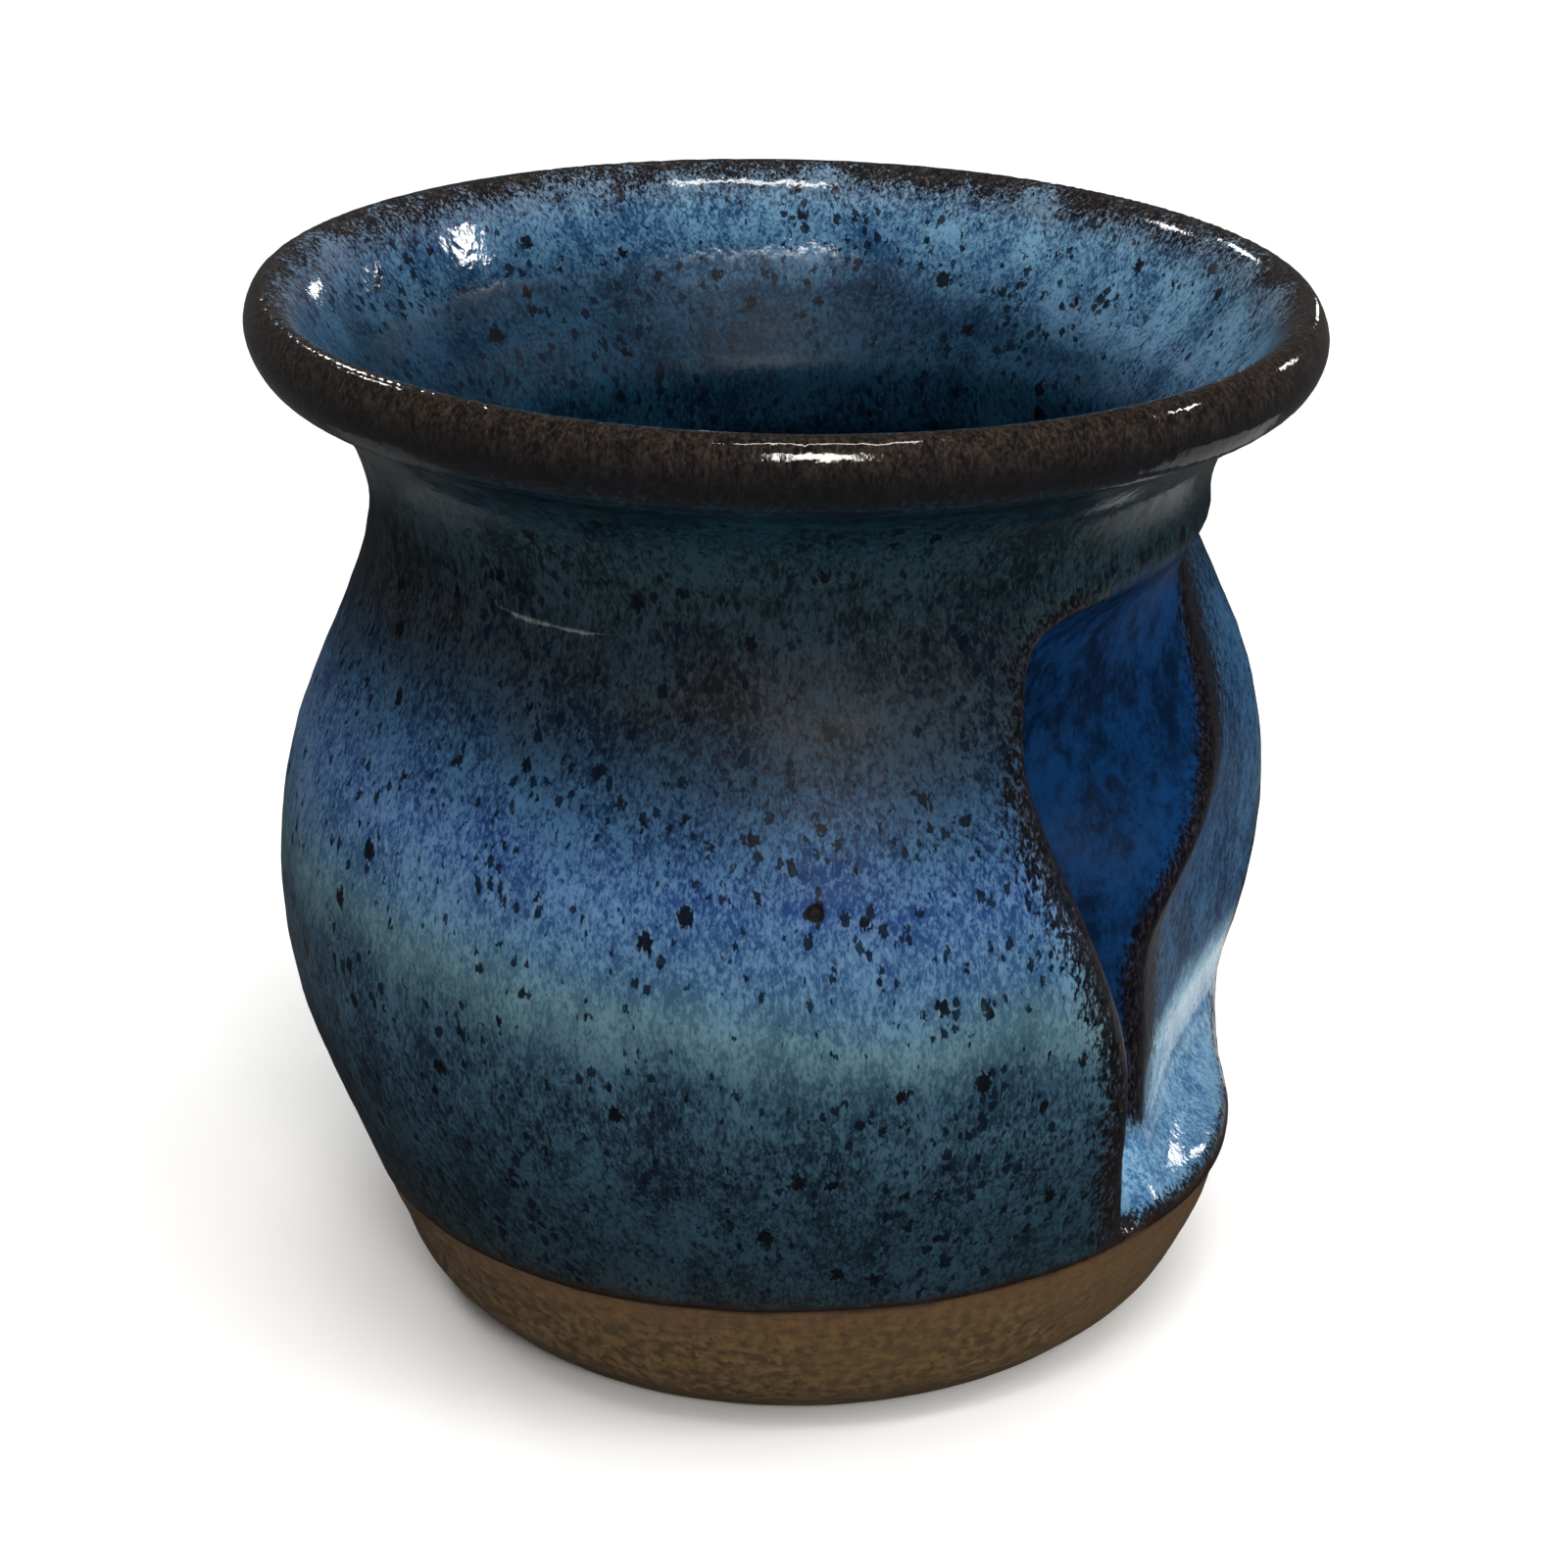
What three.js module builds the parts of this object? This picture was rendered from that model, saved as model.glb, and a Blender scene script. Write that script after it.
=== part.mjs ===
// Wheel-thrown stoneware hand-warmer mug, for the right hand. There is no handle: the fingers
// slide through a window in the outer wall into a pocket pressed into the side of the cup.
// Millimetres, +Z up, origin at the centre of the foot's underside. The middle of the front
// flap faces -Y and the window faces +X.
// A bearing is an angle about +Z in degrees, 0 at the front (-Y) and growing towards +X.
import * as THREE from 'three';
import { mergeVertices } from 'three/addons/utils/BufferGeometryUtils.js';

// ---- Driving dimensions ----

// Finished outside of the thrown body, as [height, radius], from the foot to under the collar
const BODY_PROFILE = [
  [0, 34.5], [3.6, 38.5], [8.3, 41.6], [14.6, 43.8], [22.9, 46.8], [35.4, 51.0],
  [47.8, 52.1], [60.3, 50.0], [70.7, 45.6], [79.0, 42.1], [85.3, 40.8],
];
// Finished outline of the collar and its rolled lip, as [radius, height]: up the outside,
// over the lip and down the funnel inside
const COLLAR_OUTLINE = [
  [41.0, 82.6], [40.9, 87.0], [42.9, 91.6], [46.5, 95.4], [50.6, 97.7], [52.1, 101.3],
  [50.6, 104.5], [47.6, 103.2], [43.8, 97.4], [39.5, 91.6], [36.4, 87.2], [35.6, 82.6],
];
const COLLAR_STEPS = 14;
// Finished inside of the wall just below the collar, as [height, radius]
const THROAT_PROFILE = [[66, 44.0], [71, 40.6], [75, 38.2], [79, 36.5], [82.6, 35.6]];
const GLAZE_LINE = 16.4;
const COLLAR_BASE = 82.6;
const WALL = 5.2;
const WALL_AT_COLLAR = 3.0;
const WALL_THINS = { from: 68, to: 80 };
const GLAZE = 0.5;
const GLAZE_GAP = 0.15;
const SEAM_GAP = 0.4;
const FLOOR_HEIGHT = 7.6;
const BOWL = { flatRadius: 20, reach: 27, centreHeight: 30 };
// Foot seen from below: a flat ring with a shallow unglazed hollow inside it
const FOOT_UNDERSIDE = [[0, 2.2], [24.5, 2.0], [27.2, 0.9], [28.2, 0], [33.4, 0]];
const FOOT_SIDE_HEIGHTS = [0.9, 4.2, 10];
const FOOT_BOWL_RADII = [0, 12, 20];
const FOOT_BOWL_HEIGHTS = [8.4, 10, 12.4, 14.2, 15.4];

// The hand recess. The pocket runs behind the flap from its closed end to a ridge where the
// fingers bend. From the ridge a palm rest runs to the far edge of the window.
const POCKET_END = -60;
const POCKET_END_SPAN = 24;
const POCKET_RADIUS = 29;
const POCKET_MIDDLE = 46;
const POCKET_SQUARENESS = 3.2;
const POCKET_END_ROUNDNESS = 2.5;
const RIDGE_SPAN = 27;
const RIDGE_FLARE = 1.6;
// Ridge line, as [height, bearing, radius]
const RIDGE = [
  [17, 53, 41.5], [30, 57, 39.9], [43, 54.5, 41.0], [49.5, 58, 42.8], [55, 64, 44.0],
  [60.5, 71.5, 43.2], [66.5, 76.5, 41.5], [73.5, 78.5, 39.7], [82, 79, 38.3],
];
const FAR_EDGE = 108;
const PALM_SCOOP = 0.9;
const WINDOW_SILL = 17.3;
const SILL_FILLET = 7.5;
const SILL_ROUNDNESS = 2.6;
const SILL_CORNER = { bearings: 13, height: 9, roundness: 2.2 };
// Bearings past the flap's foot over which the sill rises
const SILL_START = { from: 1, to: 6 };
// The recess closes under the collar from this height, except this near its far edge
const RECESS_ROOF = { from: 74, besideEdge: 16 };
// Free edge of the flap, as [height, bearing]
const FLAP_EDGE = [
  [16.7, 45.5], [28.8, 40], [43, 36.6], [55.4, 32], [64, 28.7], [70, 28], [76, 29.9],
  [79.6, 32.4], [81.4, 38], [82.3, 43],
];
const FLAP = 5.2;
const FLAP_AT_COLLAR = 2.7;
const FLAP_THINS_FROM = 66;

// The upper part leans a little towards the window, as the thrown rim settled
const LEAN_DEGREES = 2.1;
const LEAN_FROM = 75;
const LEAN_TO = 104;

// ---- Grid of columns (bearings) and rows (heights) that the walls share ----

const POCKET_COLUMNS = 10;
const PALM_COLUMNS = 5;
const BACK_COLUMNS = 22;
const FLAP_COLUMNS = 13;
const EDGE_STEPS = 5;
const WALL_ROWS = [16.7, 18.6, 21.5, 27, 34.5, 43, 51.5, 59.5, 67, 73.5, 78.6, 82.3];
const STEP_BEARING = 0.45;
// The rolled ball is tested on rings at these shares of its radius, about a usual wall radius
const BALL_RINGS = [0.35, 0.7, 1];
const BALL_POINTS = 12;
const USUAL_RADIUS = 40;
const LINING_SEAM = 0.25;
const WELD_DISTANCE = 1e-4;

const CLAY = { color: 0x8a6a50, roughness: 0.85, metalness: 0 };
const BLUE_GLAZE = { color: 0x2f5f96, roughness: 0.18, metalness: 0 };
const RIM_GLAZE = { color: 0x2b2a33, roughness: 0.18, metalness: 0 };

// ---- Small helpers ----

const rad = THREE.MathUtils.degToRad;
const { lerp, smoothstep } = THREE.MathUtils;
const clamp01 = (value) => THREE.MathUtils.clamp(value, 0, 1);

// Smooth function through [input, output] pairs in rising order of input
function curveThrough(pairs) {
  const last = pairs.length - 1;
  const slope = (k) => {
    const a = pairs[Math.max(k - 1, 0)];
    const b = pairs[Math.min(k + 1, last)];
    return (b[1] - a[1]) / (b[0] - a[0]);
  };
  return (input) => {
    const x = THREE.MathUtils.clamp(input, pairs[0][0], pairs[last][0]);
    const next = Math.max(1, pairs.findIndex(([at]) => at >= x));
    const [x0, y0] = pairs[next - 1];
    const [x1, y1] = pairs[next];
    const width = x1 - x0;
    const t = (x - x0) / width;
    const hermite = y0 * (1 + 2 * t) * (1 - t) ** 2 + y1 * t * t * (3 - 2 * t);
    return hermite + width * (slope(next - 1) * t * (1 - t) ** 2 - slope(next) * t * t * (1 - t));
  };
}

function spread(from, to, steps) {
  return Array.from({ length: steps + 1 }, (_, k) => lerp(from, to, k / steps));
}

// A point on the mug, with the upper part's lean applied
function place(bearing, radius, height) {
  const x = radius * Math.sin(rad(bearing));
  const y = -radius * Math.cos(rad(bearing));
  const lean = smoothstep(height, LEAN_FROM, LEAN_TO) * Math.tan(rad(LEAN_DEGREES));
  return new THREE.Vector3(x, y, height - lean * x);
}

// ---- Finished surfaces of the mug, as a radius at a bearing and height ----

const bodyRadius = curveThrough(BODY_PROFILE);
const throatRadius = curveThrough(THROAT_PROFILE);
const ridgeBearing = curveThrough(RIDGE.map(([height, bearing]) => [height, bearing]));
const ridgeRadius = curveThrough(RIDGE.map(([height, , radius]) => [height, radius]));
const flapEdge = curveThrough(FLAP_EDGE);

function flapThickness(height) {
  return lerp(FLAP, FLAP_AT_COLLAR, smoothstep(height, FLAP_THINS_FROM, COLLAR_BASE));
}

// Far edge of the window, which rounds into the sill
function farEdge(height) {
  const rise = clamp01((height - WINDOW_SILL) / SILL_CORNER.height);
  return FAR_EDGE - SILL_CORNER.bearings * (1 - rise) ** SILL_CORNER.roundness;
}

// The finger pocket behind the flap: deep at mid-height, closing against the flap above,
// below and at its far end
function pocketRadius(bearing, height) {
  const closed = bodyRadius(height) - flapThickness(height) - SEAM_GAP;
  const halfHeight = height > POCKET_MIDDLE
    ? COLLAR_BASE - POCKET_MIDDLE
    : POCKET_MIDDLE - GLAZE_LINE;
  const rise = clamp01(Math.abs(height - POCKET_MIDDLE) / halfHeight) ** POCKET_SQUARENESS;
  const deep = lerp(POCKET_RADIUS, closed, rise);
  const toEnd = 1 - clamp01((bearing - POCKET_END) / POCKET_END_SPAN);
  const toRidge = 1 - clamp01((ridgeBearing(height) - bearing) / RIDGE_SPAN);
  const ridge = Math.max(ridgeRadius(height), deep);
  const shutting = (closed - deep) * toEnd ** POCKET_END_ROUNDNESS;
  const radius = deep + shutting + (ridge - deep) * toRidge ** RIDGE_FLARE;
  return Math.min(radius, Math.max(closed, ridge * toRidge));
}

// The palm rest: straight in plan from the ridge to the far edge, and slightly scooped
function palmRadius(bearing, height) {
  const from = { bearing: ridgeBearing(height), radius: ridgeRadius(height) };
  const to = { bearing: farEdge(height), radius: bodyRadius(height) };
  const before = Math.sin(rad(bearing - from.bearing)) * from.radius;
  const after = Math.sin(rad(to.bearing - bearing)) * to.radius;
  const across = Math.sin(rad(to.bearing - from.bearing)) * from.radius * to.radius;
  const share = clamp01((bearing - from.bearing) / (to.bearing - from.bearing));
  return across / (before + after) - PALM_SCOOP * 4 * share * (1 - share);
}

// Outside of the cup wall: the thrown profile, except in the hand recess
function cupRadius(bearing, height) {
  const nominal = bodyRadius(height);
  const inRecess = bearing >= POCKET_END && bearing < farEdge(height);
  if (!inRecess || height > COLLAR_BASE || height < GLAZE_LINE) return nominal;
  const behindFlap = bearing < ridgeBearing(height);
  const deep = behindFlap ? pocketRadius(bearing, height) : palmRadius(bearing, height);
  const pastFlap = bearing - flapEdge(GLAZE_LINE);
  const inWindow = smoothstep(pastFlap, SILL_START.from, SILL_START.to);
  const aboveSill = clamp01((height - WINDOW_SILL) / SILL_FILLET);
  const sill = inWindow * (1 - aboveSill) ** SILL_ROUNDNESS;
  const besideEdge = smoothstep(farEdge(height) - bearing, 0, RECESS_ROOF.besideEdge);
  const underCollar = smoothstep(height, RECESS_ROOF.from, COLLAR_BASE) * besideEdge;
  const roof = Math.min(deep, nominal - FLAP_AT_COLLAR - SEAM_GAP);
  return lerp(lerp(deep, roof, underCollar), nominal, sill);
}

// Drinking side of the wall: a ball of the wall's thickness rolled along the outside, the
// throat under the collar and the round of the bowl
function cavityRadius(bearing, height) {
  const thinned = smoothstep(height, WALL_THINS.from, WALL_THINS.to);
  const thickness = lerp(WALL, WALL_AT_COLLAR, thinned);
  let radius = cupRadius(bearing, height) - thickness;
  for (const reach of BALL_RINGS) {
    const drop = thickness * Math.sqrt(1 - reach * reach);
    for (let k = 0; k < BALL_POINTS; k += 1) {
      const turn = (k / BALL_POINTS) * 2 * Math.PI;
      const aside = THREE.MathUtils.radToDeg((thickness * reach * Math.cos(turn)) / USUAL_RADIUS);
      const above = height + thickness * reach * Math.sin(turn);
      radius = Math.min(radius, cupRadius(wrapBearing(bearing + aside), above) - drop);
    }
  }
  const drawnIn = height > THROAT_PROFILE[0][0] ? throatRadius(height) : Infinity;
  const fall = clamp01((BOWL.centreHeight - height) / (BOWL.centreHeight - FLOOR_HEIGHT));
  const bowl = BOWL.flatRadius + BOWL.reach * Math.sqrt(1 - fall * fall);
  return Math.min(radius, drawnIn, bowl);
}

function wrapBearing(bearing) {
  return bearing > 360 + POCKET_END ? bearing - 360 : bearing;
}

// ---- Closed solids from two matching grids of points ----

// outer and inner are grids of points, by column and then row, with columns in order of
// bearing and rows upwards on the outer grid. The solid is what lies between them. With
// wraps the last column joins the first, and otherwise both ends are closed.
function solidBetween(outer, inner, wraps) {
  const columns = outer.length;
  const rows = outer[0].length;
  const corners = [];
  const quad = (a, b, c, d) => corners.push(a, b, c, a, c, d);
  const spans = wraps ? columns : columns - 1;
  for (let i = 0; i < spans; i += 1) {
    const n = (i + 1) % columns;
    for (let j = 0; j + 1 < rows; j += 1) {
      quad(outer[i][j], outer[n][j], outer[n][j + 1], outer[i][j + 1]);
      quad(inner[i][j], inner[i][j + 1], inner[n][j + 1], inner[n][j]);
    }
    quad(inner[i][0], inner[n][0], outer[n][0], outer[i][0]);
    quad(outer[i][rows - 1], outer[n][rows - 1], inner[n][rows - 1], inner[i][rows - 1]);
  }
  if (!wraps) {
    const end = columns - 1;
    for (let j = 0; j + 1 < rows; j += 1) {
      quad(inner[0][j], outer[0][j], outer[0][j + 1], inner[0][j + 1]);
      quad(outer[end][j], inner[end][j], inner[end][j + 1], outer[end][j + 1]);
    }
  }
  return weld(corners);
}

// Triangles with shared corners, without those that collapse where rows meet the axis
function weld(corners) {
  const loose = new THREE.BufferGeometry().setFromPoints(corners);
  const merged = mergeVertices(loose, WELD_DISTANCE);
  const index = merged.getIndex();
  const kept = [];
  for (let k = 0; k < index.count; k += 3) {
    const [a, b, c] = [index.getX(k), index.getX(k + 1), index.getX(k + 2)];
    if (a !== b && b !== c && c !== a) kept.push(a, b, c);
  }
  merged.setIndex(kept);
  merged.computeVertexNormals();
  return merged;
}

// ---- Columns ----

// Bearings round the whole cup at one height: the pocket, the palm rest, then the back
function cupColumns(height) {
  const far = farEdge(height);
  const backEnd = 360 + POCKET_END - STEP_BEARING;
  return [
    ...spread(POCKET_END, ridgeBearing(height), POCKET_COLUMNS),
    ...spread(ridgeBearing(height), far, PALM_COLUMNS).slice(1),
    ...spread(far, backEnd, BACK_COLUMNS).slice(1),
  ];
}

function recessColumns(height) {
  const columns = cupColumns(height).slice(0, POCKET_COLUMNS + PALM_COLUMNS + 1);
  columns[columns.length - 1] -= STEP_BEARING;
  return columns;
}

// Bearings of the outside coat: from the far edge round the back, then along the flap
function outsideColumns(height) {
  const back = cupColumns(height).slice(POCKET_COLUMNS + PALM_COLUMNS);
  back[0] += STEP_BEARING;
  const flap = spread(POCKET_END + 2 * STEP_BEARING, flapRoundStart(height), FLAP_COLUMNS);
  return [...back, ...flap.map((bearing) => bearing + 360)];
}

// Bearing where the flap's free edge starts to round over
function flapRoundStart(height) {
  const round = flapThickness(height) / 2 / bodyRadius(height);
  return flapEdge(height) - THREE.MathUtils.radToDeg(round);
}

function grid(heights, columnsAt, pointAt) {
  const byRow = heights.map((height) => columnsAt(height).map((b) => pointAt(b, height)));
  return byRow[0].map((_, i) => byRow.map((row) => row[i]));
}

// ---- Foot: the raw clay bottom of the pot ----

function footGeometry() {
  const sides = FOOT_SIDE_HEIGHTS.map((height) => [bodyRadius(height), height]);
  const outside = [...FOOT_UNDERSIDE, ...sides, [bodyRadius(GLAZE_LINE), GLAZE_LINE]];
  const inset = GLAZE + GLAZE_GAP;
  const columns = cupColumns(GLAZE_LINE);
  const outer = columns.map((b) => outside.map(([radius, height]) => place(b, radius, height)));
  const inner = columns.map((b) => {
    const disc = FOOT_BOWL_RADII.map((radius) => place(b, radius, FLOOR_HEIGHT - inset));
    const heights = [...FOOT_BOWL_HEIGHTS, GLAZE_LINE];
    return [...disc, ...heights.map((h) => place(b, cavityRadius(b, h) + inset, h))];
  });
  return solidBetween(outer, inner, true);
}

// ---- Cup wall: holds the drink and carries the pressed-in hand recess ----

function cupWallGeometry() {
  const inset = GLAZE + GLAZE_GAP;
  const outer = grid(WALL_ROWS, cupColumns, (b, h) => place(b, cupRadius(b, h) - inset, h));
  const inner = grid(WALL_ROWS, cupColumns, (b, h) => place(b, cavityRadius(b, h) + inset, h));
  return solidBetween(outer, inner, true);
}

// ---- Pocket flap: the outer wall in front of the fingers ----

// Plan section of the flap at one height, from its closed end along the outside, round the
// free edge and back along the inside, drawn in from the finished surface by inset
function flapSection(height, inset) {
  const half = flapThickness(height) / 2;
  const middle = bodyRadius(height) - half;
  const turn = half - inset;
  const start = flapRoundStart(height);
  const along = spread(POCKET_END + 2 * STEP_BEARING, start, FLAP_COLUMNS);
  const outside = along.map((b) => place(b, middle + turn, height));
  const inside = along.map((b) => place(b, middle - turn, height)).reverse();
  const round = spread(0, 180, EDGE_STEPS).slice(1, -1).map((angle) => {
    const beyond = THREE.MathUtils.radToDeg((turn * Math.sin(rad(angle))) / middle);
    return place(start + beyond, middle + turn * Math.cos(rad(angle)), height);
  });
  return { outside, round, inside };
}

function pocketFlapGeometry() {
  const inset = GLAZE + GLAZE_GAP;
  const halves = WALL_ROWS.map((height) => {
    const { outside, round, inside } = flapSection(height, inset);
    const tip = round.length / 2;
    const outer = [...outside, ...round.slice(0, tip)];
    const inner = [...inside].reverse().concat(round.slice(tip).reverse());
    return { outer, inner };
  });
  const byColumn = (key) => halves[0][key].map((_, i) => halves.map((row) => row[key][i]));
  return solidBetween(byColumn('outer'), byColumn('inner'), false);
}

// ---- Glaze on the body ----

function outsideGlazeGeometry() {
  const coat = (inset) => grid(WALL_ROWS, outsideColumns, (b, h) => place(b, bodyRadius(h) - inset, h));
  return solidBetween(coat(0), coat(GLAZE), false);
}

function recessGlazeGeometry() {
  const coat = (inset) => grid(WALL_ROWS, recessColumns, (b, h) => {
    return place(b, cupRadius(b, h) - inset, h);
  });
  return solidBetween(coat(0), coat(GLAZE), false);
}

// Lining of the flap: its inner face and its rounded free edge
function flapGlazeGeometry() {
  const skin = (inset) => WALL_ROWS.map((height) => {
    const { outside, round, inside } = flapSection(height, inset);
    const seam = outside[outside.length - 1].clone().lerp(round[0], LINING_SEAM);
    return [...inside.slice(0, -1).reverse(), ...round.reverse(), seam];
  });
  const byColumn = (rows) => rows[0].map((_, i) => rows.map((row) => row[i]));
  return solidBetween(byColumn(skin(GLAZE)), byColumn(skin(0)), false);
}

// Coat on the drinking side, from the middle of the floor up to the collar
function insideGlazeGeometry() {
  const walls = [...FOOT_BOWL_HEIGHTS, GLAZE_LINE, ...WALL_ROWS];
  const coat = (extra) => cupColumns(GLAZE_LINE).map((_, i) => {
    const at = (height) => cupColumns(height)[i];
    const disc = FOOT_BOWL_RADII.map((radius) => place(at(GLAZE_LINE), radius, FLOOR_HEIGHT - extra));
    return [...disc, ...walls.map((h) => place(at(h), cavityRadius(at(h), h) + extra, h))];
  });
  return solidBetween(coat(GLAZE), coat(0), true);
}

// ---- Collar: the drawn-in neck and the thick rolled lip ----

// The collar's outline, drawn in from the finished surface by inset
function collarOutline(inset) {
  const points = COLLAR_OUTLINE.map(([radius, height]) => new THREE.Vector2(radius, height));
  const outline = new THREE.SplineCurve(points).getPoints(COLLAR_STEPS);
  return outline.map((point, k) => {
    const before = outline[Math.max(k - 1, 0)];
    const after = outline[Math.min(k + 1, COLLAR_STEPS)];
    const along = after.clone().sub(before).normalize();
    const drawn = new THREE.Vector2(point.x - along.y * inset, point.y + along.x * inset);
    if (k === 0 || k === COLLAR_STEPS) drawn.y = COLLAR_BASE;
    return drawn;
  });
}

// Surface of revolution about +Z, with the mug's own columns and lean
function collarSkin(outline) {
  return cupColumns(COLLAR_BASE).map((b) => outline.map(({ x, y }) => place(b, x, y)));
}

function collarGeometry() {
  const outline = collarOutline(GLAZE + GLAZE_GAP);
  const top = COLLAR_STEPS / 2;
  const outer = outline.slice(0, top + 1);
  const inner = outline.slice(top).reverse();
  return solidBetween(collarSkin(outer), collarSkin(inner), true);
}

function collarGlazeGeometry() {
  return solidBetween(collarSkin(collarOutline(0)), collarSkin(collarOutline(GLAZE)), true);
}

// ---- Assembly ----

function subPart(name, geometry, finish) {
  const mesh = new THREE.Mesh(geometry, new THREE.MeshStandardMaterial(finish));
  mesh.name = name;
  return mesh;
}

const mug = new THREE.Group();
mug.name = 'hand_warmer_mug';
mug.add(
  subPart('foot', footGeometry(), CLAY),
  subPart('cup_wall', cupWallGeometry(), CLAY),
  subPart('pocket_flap', pocketFlapGeometry(), CLAY),
  subPart('collar', collarGeometry(), CLAY),
  subPart('glaze_outside', outsideGlazeGeometry(), BLUE_GLAZE),
  subPart('glaze_hand_recess', recessGlazeGeometry(), BLUE_GLAZE),
  subPart('glaze_flap_lining', flapGlazeGeometry(), BLUE_GLAZE),
  subPart('glaze_inside', insideGlazeGeometry(), BLUE_GLAZE),
  subPart('glaze_collar', collarGlazeGeometry(), RIM_GLAZE),
);

export default mug;
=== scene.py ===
# Hand-warmer mug in blue stoneware glaze: the visual model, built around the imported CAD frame.
# Shapes are worked out in millimetres and become metres when a mesh is made.
import math

import bpy
import bmesh
import numpy as np
from mathutils import Matrix, Vector


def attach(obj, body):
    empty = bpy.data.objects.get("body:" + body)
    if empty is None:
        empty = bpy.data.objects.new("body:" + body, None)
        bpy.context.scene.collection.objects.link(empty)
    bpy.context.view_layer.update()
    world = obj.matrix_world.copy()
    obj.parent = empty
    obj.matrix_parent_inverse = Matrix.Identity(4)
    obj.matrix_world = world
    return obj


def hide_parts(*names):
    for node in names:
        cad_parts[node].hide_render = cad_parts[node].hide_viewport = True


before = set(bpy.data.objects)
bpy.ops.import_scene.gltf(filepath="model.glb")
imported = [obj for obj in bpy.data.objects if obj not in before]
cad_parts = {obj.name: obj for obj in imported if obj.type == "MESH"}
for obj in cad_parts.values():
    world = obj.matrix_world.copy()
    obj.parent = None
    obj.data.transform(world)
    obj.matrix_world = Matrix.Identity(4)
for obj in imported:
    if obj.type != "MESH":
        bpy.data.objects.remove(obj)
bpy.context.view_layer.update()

MM = 0.001

# ---- Driving dimensions, the same as the CAD model's ----

# Outside of the thrown body, as [height, radius]
BODY_PROFILE = [
    [0, 34.5], [3.6, 38.5], [8.3, 41.6], [14.6, 43.8], [22.9, 46.8], [35.4, 51.0],
    [47.8, 52.1], [60.3, 50.0], [70.7, 45.6], [79.0, 42.1], [85.3, 40.8],
]
# Collar and rolled lip, as [radius, height]: up the outside, over the lip, down the funnel
COLLAR_OUTLINE = [
    [41.0, 82.6], [40.9, 87.0], [42.9, 91.6], [46.5, 95.4], [50.6, 97.7], [52.1, 101.3],
    [50.6, 104.5], [47.6, 103.2], [43.8, 97.4], [39.5, 91.6], [36.4, 87.2], [35.6, 82.6],
]
THROAT_PROFILE = [[66, 44.0], [71, 40.6], [75, 38.2], [79, 36.5], [82.6, 35.6]]
GLAZE_LINE = 16.4
COLLAR_BASE = 82.6
WALL = 5.2
WALL_AT_COLLAR = 3.0
FLOOR_HEIGHT = 7.6
BOWL_FLAT, BOWL_REACH, BOWL_CENTRE = 20.0, 27.0, 30.0
# Sections are drawn on past the axis, so that the axis is never taken for a surface
PAST_AXIS = -30.0
UNDERSIDE = [[PAST_AXIS, 2.2], [24.5, 2.0], [27.2, 0.9], [28.2, 0], [33.4, 0]]

# The hand recess: the pocket behind the flap, the ridge, and the palm rest beyond it
POCKET_END = -60.0
POCKET_END_SPAN = 24.0
POCKET_RADIUS = 29.0
POCKET_MIDDLE = 46.0
RIDGE_SPAN = 27.0
# Ridge line, as [height, bearing, radius]
RIDGE = [
    [17, 53, 41.5], [30, 57, 39.9], [43, 54.5, 41.0], [49.5, 58, 42.8], [55, 64, 44.0],
    [60.5, 71.5, 43.2], [66.5, 76.5, 41.5], [73.5, 78.5, 39.7], [82, 79, 38.3],
]
POCKET_SQUARENESS = 3.2
POCKET_END_ROUNDNESS = 2.5
RIDGE_FLARE = 1.6
PALM_SCOOP = 3.6
FAR_EDGE = 108.0
WINDOW_SILL = 17.3
SILL_FILLET = 7.5
SILL_ROUNDNESS = 2.6
SILL_BEARINGS = 44, 52
SILL_CORNER_BEARINGS, SILL_CORNER_HEIGHT, SILL_CORNER_ROUNDNESS = 13.0, 9.0, 2.2
# The recess closes under the collar from this height, past these bearings
ROOF_FROM, ROOF_HEIGHT, ROOF_ROUNDNESS = 77.0, 6.0, 2.2
ROOF_BEARINGS = 30, 44
RECESS_TOP = 84.0       # nothing of the recess reaches above this
# Free edge of the flap, as [height, bearing]
FLAP_EDGE = [
    [16.7, 45.5], [28.8, 40], [43, 36.6], [55.4, 32], [64, 28.7], [70, 28], [76, 29.9],
    [79.6, 32.4], [81.4, 38], [82.3, 43],
]
FLAP = 5.2
FLAP_AT_COLLAR = 2.7
# The flap grows thin from this height up to the collar, and the cup's wall between these two
FLAP_THINS_FROM = 66
WALL_THINS = 68, 80
# The collar tilts down towards +X by this slope, which is reached between these heights
LEAN = math.tan(math.radians(2.1))
LEAN_HEIGHTS = 75, 104
# The burst bubble in the glaze, and a fine raised line that crosses the shoulder, painted pale
# grey along its length as a highlight
PIT_BEARING, PIT_HEIGHT = 1.8, 60.1
PIT_RADIUS, PIT_DEPTH, PIT_LIP = 0.62, 0.75, 0.10
SCAR_BEARINGS = [-43, -41.5, -40, -36, -30, -25, -21]
SCAR_HEIGHTS = [84.6, 83.4, 82.8, 82.45, 82.2, 82.2, 82.5]
SCAR_MIDDLE, SCAR_HALF = -32.0, 10.5
SCAR_RISE, SCAR_SPREAD = 0.07, 0.8

# ---- Curves ----


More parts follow.
